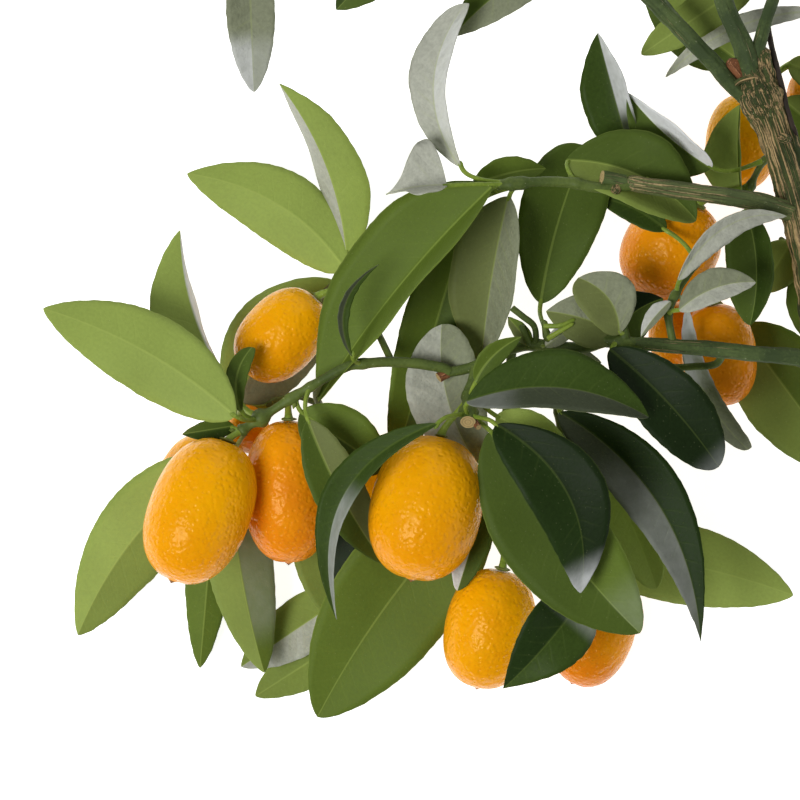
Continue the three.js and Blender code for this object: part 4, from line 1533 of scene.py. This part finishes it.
@dataclass(frozen=True)
class ShootMaker:
    """Geometry Nodes that turn polylines to round shoots with the relief of bark."""

    finishes: dict[Skin, bpy.types.Material]
    cut: bpy.types.Material
    lump_scale: float = 260.0
    full_relief_radius: float = 0.003

    def maker(self) -> Maker:
        """Builds the tree.

        Returns:
            The tree, with sides, the ridges' height, width and length and the lumps' height as
            named inputs.
        """
        graph = Maker("shoots")
        sides = graph.size("Sides", 16, "Int")
        height = graph.size("Ridge height", 0.0002)
        width = graph.size("Ridge width", 0.001)
        length = graph.size("Ridge length", 0.012)
        lump = graph.size("Lump height", 0.0002)
        circle = graph.out("GeometryNodeCurvePrimitiveCircle", {"Resolution": sides, "Radius": 1.0})
        ring = graph.keep(circle, "around", graph.out("GeometryNodeInputPosition"))
        rail = graph.out("GeometryNodeMeshToCurve", {"Mesh": graph.rows})
        run = graph.out("GeometryNodeSplineParameter", output="Length")
        rail = graph.keep(rail, "run", run, "FLOAT")
        girth = graph.read("girth")
        tube = graph.out("GeometryNodeCurveToMesh", {
            "Curve": rail, "Profile Curve": ring, "Scale": girth, "Fill Caps": True,
        })
        # The grain runs straight along each shoot, and the relief fades out on thin ones.
        x, y, _ = graph.split(graph.read_vector("around"))
        grain = graph.combine(x * girth, y * girth, graph.read("run") + graph.read("seed"))
        tube = graph.keep(tube, "grain", grain)
        local = graph.read_vector("grain")
        streak = grain_noise(graph, local, graph.combine(width, width, length))
        ridge = graph.ramp(streak, 0.36, 0.66)
        swell = graph.noise(local, self.lump_scale) - 0.5
        share = graph.math("MINIMUM", girth / self.full_relief_radius, 1.0)
        lift = ((ridge - 0.5) * height + swell * lump * 2.0) * share
        shoots = graph.move(tube, Offset=graph.out("GeometryNodeInputNormal") * lift)
        kind = graph.read("kind")
        for skin, material in self.finishes.items():
            shoots = graph.dress(shoots, material, graph.is_number(kind, skin.value))
        # A cap is the only face with more than four corners. It stays flat and shows the cut.
        corners = graph.out("GeometryNodeInputMeshFaceNeighbors", output="Vertex Count")
        cap = graph.math("GREATER_THAN", corners, 4.5)
        graph.close(graph.dress(shoots, self.cut, cap * graph.read("open_end")), 1.0 - cap)
        return graph


@dataclass(frozen=True)
class FruitMaker:
    """Geometry Nodes that turn a point to a fruit with a dimple, a nib and low lumps."""

    segments: int = 96
    rings: int = 64
    fullness: float = 2.3
    dimple_radius: float = 0.16
    nib_radius: float = 0.05
    brow_radius: float = 0.16
    brow_width: float = 0.07
    lump_scale: float = 170.0

    def maker(self, material: bpy.types.Material) -> Maker:
        """Builds the tree.

        Args:
            material: the peel.

        Returns:
            The tree, with the lumps' height and, as shares of half the fruit's length, the depths
            of the dimple and the nib and the height of the brow round the nib as named inputs.
        """
        graph = Maker("fruit")
        lump = graph.size("Lump height", 0.00022)
        dimple = graph.size("Dimple depth", 0.05)
        brow = graph.size("Brow height", 0.012)
        nib = graph.size("Nib depth", 0.04)
        ball = graph.out("GeometryNodeMeshUVSphere", {
            "Segments": self.segments, "Rings": self.rings, "Radius": 1.0,
        })
        x, y, z = graph.split(graph.out("GeometryNodeInputPosition"))
        off = graph.radius(x, y)
        power = self.fullness
        full = (off ** power + graph.math("ABSOLUTE", z) ** power) ** (-1.0 / power)
        above, below = graph.math("GREATER_THAN", z, 0.0), graph.math("LESS_THAN", z, 0.0)
        stalk_end = graph.bell(off, self.dimple_radius) * above
        nib_end = graph.bell(off, self.nib_radius) * below
        brow_ring = graph.bell(off - self.brow_radius, self.brow_width) * below
        height = z * full - stalk_end * dimple + brow_ring * brow - nib_end * nib
        shaped = graph.move(ball, Position=graph.combine(x * full, y * full, height))
        shaped = graph.keep(shaped, "unit_place", graph.combine(x, y, z))
        lumped = graph.lumpy(graph.turned_copies(shaped), self.lump_scale, lump)
        graph.close(graph.dress(lumped, material))
        return graph


@dataclass(frozen=True)
class KnobMaker:
    """Geometry Nodes that turn points to small knobs: calyxes with lobes, or pointed buds."""

    lobes: int
    depth: float
    point: float
    segments: int = 30
    rings: int = 12
    lump_scale: float = 900.0

    def maker(self, name: str, material: bpy.types.Material) -> Maker:
        """Builds the tree.

        Args:
            name: the tree's name.
            material: what the knobs are made of.

        Returns:
            The tree, with the lumps' height as a named input.
        """
        graph = Maker(name)
        lump = graph.size("Lump height", 0.0002)
        ball = graph.out("GeometryNodeMeshUVSphere", {
            "Segments": self.segments, "Rings": self.rings, "Radius": 1.0,
        })
        x, y, z = graph.split(graph.out("GeometryNodeInputPosition"))
        angle = graph.math("ARCTAN2", y, x)
        star = graph.math("COSINE", angle * float(self.lobes)) * self.depth + 1.0
        narrow = 1.0 - graph.math("MAXIMUM", z, 0.0) * self.point
        knob = graph.move(ball, Position=graph.combine(x * star * narrow, y * star * narrow, z))
        lumped = graph.lumpy(graph.turned_copies(knob), self.lump_scale, lump)
        graph.close(graph.dress(lumped, material))
        return graph


# ---------- the branch ----------


@dataclass(frozen=True)
class Relief:
    """Height, width and length of the ridges on a skin, and the height of its lumps."""

    ridge_height: float
    ridge_width: float
    ridge_length: float
    lump_height: float


STEM_RELIEF = Relief(0.0006, 0.001, 0.016, 0.0009)
BOUGH_RELIEF = Relief(0.00035, 0.0009, 0.012, 0.00035)
TWIG_RELIEF = Relief(0.00022, 0.0006, 0.009, 0.00018)


def hung(piece: bpy.types.Object, slot: str, *nodes: str) -> bpy.types.Object:
    """Hangs a piece on the frame.

    Args:
        piece: the piece.
        slot: not used.
        nodes: frame nodes that it stands for.

    Returns:
        The piece.
    """
    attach(piece, ROOT_BODY)
    if nodes:
        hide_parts(*nodes)
    return piece


@dataclass
class Shoots:
    """Shoots gathered for one piece."""

    name: str
    layout: Layout
    sides: int
    relief: Relief
    strands: list[Strand] = field(default_factory=list)
    thinnest: float = 0.04
    seed_step: float = 0.37

    def add(self, points: np.ndarray, radii: np.ndarray, skin: Skin, cut_end: bool = False) -> None:
        """Adds one shoot, closed with a round tip unless its end is cut.

        Args:
            points: its centre line, in millimetres.
            radii: its radius at each point.
            skin: what covers it.
            cut_end: whether it ends in a flat cut.
        """
        if not cut_end:
            runs = np.linalg.norm(points - points[-1], axis=1)
            near = np.clip(runs / radii[-1], self.thinnest, 1)
            radii = radii * np.sqrt(near * (2 - near))
        self.strands.append(Strand(points, radii, skin, cut_end))

    def add_stubs(self, limb: str) -> None:
        """Adds the side shoots, spurs and snags of a limb or spray.

        Args:
            limb: its name.
        """
        for stub in STUBS.get(limb, ()):
            path = smooth_path(stub.path, STUB_PITCH)
            self.add(path, tapered(stub, len(path)), stub.skin, stub.cut)

    def build(self, maker: Maker) -> bpy.types.Object:
        """Makes the piece.

        Args:
            maker: the tree for shoots.

        Returns:
            The piece.
        """
        points: list[np.ndarray] = []
        edges: list[tuple[int, int]] = []
        columns: dict[str, list[float]] = {"girth": [], "kind": [], "seed": [], "open_end": []}
        for index, strand in enumerate(self.strands):
            start, count = len(points), len(strand.points)
            points.extend(self.layout.place(strand.points))
            edges.extend((start + i, start + i + 1) for i in range(count - 1))
            columns["girth"].extend(strand.radii * MM)
            columns["kind"].extend([float(strand.skin.value)] * count)
            columns["seed"].extend([index * self.seed_step] * count)
            columns["open_end"].extend([float(strand.open_end)] * count)
        return maker.run(self.name, rows_mesh(points, edges, **columns), {
            "Sides": self.sides,
            "Ridge height": self.relief.ridge_height,
            "Ridge width": self.relief.ridge_width,
            "Ridge length": self.relief.ridge_length,
            "Lump height": self.relief.lump_height,
        })


@dataclass
class Wood:
    """The stem with its forks and boughs, each a limb with the relief of its bark.

    Pitch and swell are in millimetres. The collar's spread and the stretch that narrows are shares of
    a limb's length.
    """

    layout: Layout
    maker: Maker
    pitch: float = 0.55
    stem_sides: int = 96
    bough_sides: int = 56
    collar_swell: float = 1.3
    collar_spread: float = 0.03
    narrow_from: float = 0.94
    narrow_by: float = 0.15

    def build(self) -> list[bpy.types.Object]:
        """Makes one piece for every woody limb."""
        return [self.limb(name, limb) for name, limb in BOUGHS.items()]

    def limb(self, name: str, limb: Limb) -> bpy.types.Object:
        """Makes a limb with its side shoots, in its row's skin. Only the stem has a collar and a cut end.

        Args:
            name: the limb's node.
            limb: its row.

        Returns:
            The piece.
        """
        is_stem = limb.collar is not None
        line = smooth_path(limb.path, self.pitch)
        shoots = Shoots(
            name + "_bark", self.layout,
            sides=self.stem_sides if is_stem else self.bough_sides,
            relief=STEM_RELIEF if is_stem else BOUGH_RELIEF,
        )
        shoots.add(line, self.radii(limb, len(line)), limb.skin, cut_end=is_stem)
        shoots.add_stubs(name)
        return hung(shoots.build(self.maker), "bark" if is_stem else "green_bark", name)

    def radii(self, limb: Limb, count: int) -> np.ndarray:
        """The limb's radii: swollen at a collar, or narrowed at the end.

        Args:
            limb: the limb.
            count: number of places.

        Returns:
            The radius at each place.
        """
        along = np.linspace(0, 1, count)
        if limb.collar is None:
            end = np.clip((along - self.narrow_from) / (1 - self.narrow_from), 0, 1)
            return tapered(limb, count) * (1 - self.narrow_by * end)
        swell = np.exp(-(((along - limb.collar) / self.collar_spread) ** 2))
        return tapered(limb, count) + self.collar_swell * swell


@dataclass
class Foliage:
    """The twigs of one spray with its petioles, stalks, buds and leaves.

    Reaches, gaps and the sink of a stalk in its fruit are in millimetres.
    """

    spray: Spray
    layout: Layout
    shoots: Maker
    blades: Maker
    calyxes: list[Spot]
    buds: list[Spot]
    sides: int = 20
    blade_reach: float = 1.6
    bud_gap: float = 0.2
    stalk_bend: float = 0.26
    stalk_reach: float = 1.6
    stalk_gap: float = 0.3
    stalk_lean: float = 0.4
    calyx_gap: float = 0.45
    fruit_sink: float = 0.1
    petiole_lean: float = 0.5
    bud_lean: float = 0.6
    bud_lift: float = 0.35
    seed_step: float = 0.17

    def build(self) -> list[bpy.types.Object]:
        """Makes the spray.

        Returns:
            The piece of twigs and the piece of leaves.
        """
        name = self.spray.name
        twigs = Twigs.along(self.spray.twigs)
        shoots = Shoots(name + "_twigs", self.layout, self.sides, TWIG_RELIEF)
        for blade in self.spray.blades:
            self.add_petiole(blade, twigs, shoots)
        for fruit in FRUITS:
            if fruit.spray == name:
                self.add_stalk(fruit, twigs, shoots)
        for limb, line, radii in zip(self.spray.twigs, twigs.lines, twigs.radii):
            shoots.add(line, radii, Skin.TWIG, limb.cut_end)
        shoots.add_stubs(name)
        rows = [self.leaf_row(index, blade) for index, blade in enumerate(self.spray.blades)]
        columns = {key: [row[key] for row in rows] for key in rows[0]}
        return [
            hung(shoots.build(self.shoots), "green_bark", name),
            hung(self.blades.run(name + "_leaves", rows_mesh(columns["base"], **columns)), "leaf", name),
        ]

    def add_petiole(self, blade: Blade, twigs: Twigs, shoots: Shoots) -> None:
        """Adds a petiole, and notes the place of the bud in its axil.

        Args:
            blade: the leaf.
            twigs: the spray's twigs, one of which swells at the petiole.
            shoots: where the petiole goes.
        """
        base, tip = np.array(blade.base, dtype=float), np.array(blade.tip, dtype=float)
        chord = unit(tip - base)
        root = twigs.root(base)
        twigs.swell(root, PETIOLE.twig_swell)
        reach = unit(base - root.place)
        leave = unit(reach + self.petiole_lean * root.along)
        path = hook(root.place, leave, base + chord * self.blade_reach, chord)
        shoots.add(path, PETIOLE.radii(len(path)), Skin.FRESH)
        upward = unit(reach + root.along * self.bud_lean + self.bud_lift * np.array(UP))
        clear = twigs.radii[root.twig].max() + self.bud_gap
        self.buds.append((root.place + upward * clear, upward))

    def add_stalk(self, fruit: Fruit, twigs: Twigs, shoots: Shoots) -> None:
        """Adds a fruit's stalk, and notes the place of its calyx.

        Args:
            fruit: the fruit.
            twigs: the spray's twigs, one of which swells at the stalk.
            shoots: where the stalk goes.
        """
        axis = unit(np.array(fruit.axis, dtype=float))
        top = np.array(fruit.centre, dtype=float) + axis * (fruit.length / 2 - self.fruit_sink)
        root = twigs.root(top + axis * self.stalk_reach)
        twigs.swell(root, FRUIT_STALK.twig_swell)
        leave = unit(unit(top - root.place) + self.stalk_lean * root.along)
        path = hook(root.place, leave, top + axis * self.stalk_gap, -axis, self.stalk_bend)
        shoots.add(path, FRUIT_STALK.radii(len(path)), Skin.FRESH, cut_end=True)
        self.calyxes.append((top + axis * self.calyx_gap, axis))

    def leaf_row(self, index: int, blade: Blade) -> dict[str, Any]:
        """The attributes of one leaf: its directions, sizes, tones and painted sheen.

        Args:
            index: the leaf's number in its spray.
            blade: the leaf.

        Returns:
            Attribute names to vectors. Left and right change places on a leaf that is turned over.
        """
        base, tip = self.layout.place(blade.base), self.layout.place(blade.tip)
        ahead = unit(tip - base)
        right = unit(np.cross(ahead, UP))
        above = np.cross(right, ahead)
        roll = math.radians(blade.roll + (180 if blade.under else 0))
        seed = seed_of(index, len(self.spray.name) * self.seed_step)
        tones = list(Tone)
        seen = [tones.index(blade.left), tones.index(blade.right)]
        hidden = [tones.index(Tone.MID if blade.under else Tone.SOFT)] * 2
        *gleam, start, end = blade.gleam
        if blade.under:
            upper, lower, gleam = hidden, seen[::-1], gleam[::-1]
        else:
            upper, lower = seen, hidden
        return {
            "base": base,
            "chord": tip - base,
            "side": right * math.cos(roll) - above * math.sin(roll),
            "face": above * math.cos(roll) + right * math.sin(roll),
            "spread": (blade.width / 2 * MM, math.radians(blade.fold / 2), seed),
            "bend": (blade.bow * MM, blade.sway * MM, blade.point),
            "upper_tones": (*upper, 0),
            "lower_tones": (*lower, 0),
            "gleam": (*gleam, 0),
            "gleam_span": (start, end, 0),
        }


@dataclass
class Fruits:
    """The hanging fruits, each a piece of its own."""

    layout: Layout
    maker: FruitMaker

    def build(self) -> list[bpy.types.Object]:
        """Makes every fruit.

        Returns:
            The pieces.
        """
        makers = {peel: self.maker.maker(PeelFinish(peel).material()) for peel in Peel}
        made = []
        for number, fruit in enumerate(FRUITS, 1):
            half = (fruit.width / 2 * MM, fruit.width / 2 * MM, fruit.length / 2 * MM)
            rows = rows_mesh([self.layout.place(fruit.centre)], axis=[fruit.axis], half_size=[half])
            name = fruit_node(number)
            made.append(hung(makers[fruit.peel].run(name + "_peel", rows), "peel", name))
        return made


@dataclass
class Knobs:
    """Small knobs of one kind: calyxes or buds."""

    name: str
    layout: Layout
    maker: Maker
    half_size: Triple
    smallest: float = 0.85
    spread: float = 0.3

    def build(self, spots: Sequence[Spot]) -> bpy.types.Object:
        """Makes one piece of all the knobs.

        Args:
            spots: place and direction of each, in millimetres.

        Returns:
            The piece.
        """
        places = [self.layout.place(place) for place, _ in spots]
        scales = [self.smallest + self.spread * seed_of(index) for index in range(len(spots))]
        sizes = [np.array(self.half_size) * MM * scale for scale in scales]
        rows = rows_mesh(places, axis=[axis for _, axis in spots], half_size=sizes)
        return hung(self.maker.run(self.name, rows), "green_bark")


def knobs(layout: Layout, calyxes: Sequence[Spot], buds: Sequence[Spot]) -> list[bpy.types.Object]:
    """Makes the calyxes on the fruits' stalks and the buds in the leaves' axils.

    Args:
        layout: the layout.
        calyxes: place and direction of each calyx.
        buds: place and direction of each bud.

    Returns:
        The two pieces.
    """
    calyx = PlainFinish("calyx", (132, 142, 62)).material()
    bud = PlainFinish("bud", (128, 146, 60)).material()
    star = KnobMaker(lobes=5, depth=0.16, point=0.35).maker("calyx", calyx)
    cone = KnobMaker(lobes=3, depth=0.06, point=0.7).maker("bud", bud)
    return [
        Knobs("calyxes", layout, star, (1.9, 1.9, 0.55)).build(calyxes),
        Knobs("buds", layout, cone, (0.55, 0.55, 0.95)).build(buds),
    ]


# ---------- studio ----------


@dataclass(frozen=True)
class Lamp:
    """A square soft lamp: the direction that it stands in, its size, power and distance."""

    name: str
    towards: Triple
    size: float
    power: float
    distance: float = 1.2


LAMPS = [
    Lamp("softbox", (-0.5, -0.22, 0.84), 0.55, 11.8),
    Lamp("fill", (0.25, 0.85, 0.45), 0.9, 3.4),
    Lamp("side_fill", (0.9, -0.35, 0.3), 0.8, 2.2),
]


@dataclass
class Studio:
    """Pale floor, soft light and the camera overhead.

    The lamps' aim is a place in the layout, in millimetres.
    """

    layout: Layout
    camera_height: float = 2.045
    lens: float = 360.0
    sensor: float = 36.0
    lamp_aim: Triple = (0, 0, 40)
    sky: float = 0.16
    floor_half: float = 6.0
    floor_glow: float = 0.85

    def build(self) -> None:
        """Makes the studio."""
        self.light()
        self.floor()
        self.camera()

    def light(self) -> None:
        """A dim white sky and the soft lamps."""
        world = bpy.data.worlds.new("studio")
        world.use_nodes = True
        sky = world.node_tree.nodes["Background"]
        sky.inputs["Color"].default_value = (1, 1, 1, 1)
        sky.inputs["Strength"].default_value = self.sky
        bpy.context.scene.world = world
        for row in LAMPS:
            lamp = bpy.data.lights.new(row.name, "AREA")
            lamp.shape, lamp.size, lamp.energy = "SQUARE", row.size, row.power
            towards = Vector(row.towards).normalized()
            stand = in_scene(bpy.data.objects.new(row.name, lamp))
            stand.location = Vector(self.layout.place(self.lamp_aim)) + towards * row.distance
            stand.rotation_euler = towards.to_track_quat("Z", "Y").to_euler()
            stand.visible_camera = False

    def floor(self) -> None:
        """A wide pale floor at the height of the lowest fruits."""
        mesh = bpy.data.meshes.new("floor")
        half = self.floor_half
        corners = [(-half, -half, 0), (half, -half, 0), (half, half, 0), (-half, half, 0)]
        mesh.from_pydata(corners, [], [(0, 1, 2, 3)])
        finish = PlainFinish("floor", (250, 250, 250), 0.9, variation=0.01, glow=self.floor_glow)
        mesh.materials.append(finish.material())
        in_scene(bpy.data.objects.new("floor", mesh))

    def camera(self) -> None:
        """The camera straight above the middle of the leafy part."""
        data = bpy.data.cameras.new("camera")
        data.lens, data.sensor_width = self.lens, self.sensor
        eye = in_scene(bpy.data.objects.new("camera", data))
        x, y, _ = self.layout.place((0, 0, 0))
        eye.location = (x, y, self.camera_height)
        bpy.context.scene.camera = eye
        bpy.context.scene.view_settings.view_transform = "Standard"


def main() -> None:
    """Builds the branch and the studio round it."""
    logging.basicConfig(level=logging.INFO, format="%(message)s", stream=sys.stdout)
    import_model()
    layout = Layout.over(fruit_node(KEY_FRUIT), FRUITS[KEY_FRUIT - 1].centre)
    Studio(layout).build()

    cut = CutFinish("cut_wood", wood=(190, 168, 116), ring=(132, 112, 74)).material()
    shoots = ShootMaker({skin: finish.material() for skin, finish in SKIN_FINISHES.items()}, cut).maker()
    leaves = LeafMaker({tone: LeafFinish(tone).material() for tone in Tone}).maker()
    calyxes: list[Spot] = []
    buds: list[Spot] = []
    pieces = Wood(layout, shoots).build()
    for spray in SPRAYS:
        pieces += Foliage(spray, layout, shoots, leaves, calyxes, buds).build()
    pieces += Fruits(layout, FruitMaker()).build()
    pieces += knobs(layout, calyxes, buds)
    for piece in pieces:
        LOG.info("%s: %d faces", piece.name, len(piece.data.polygons))


if __name__ == "__main__":
    main()
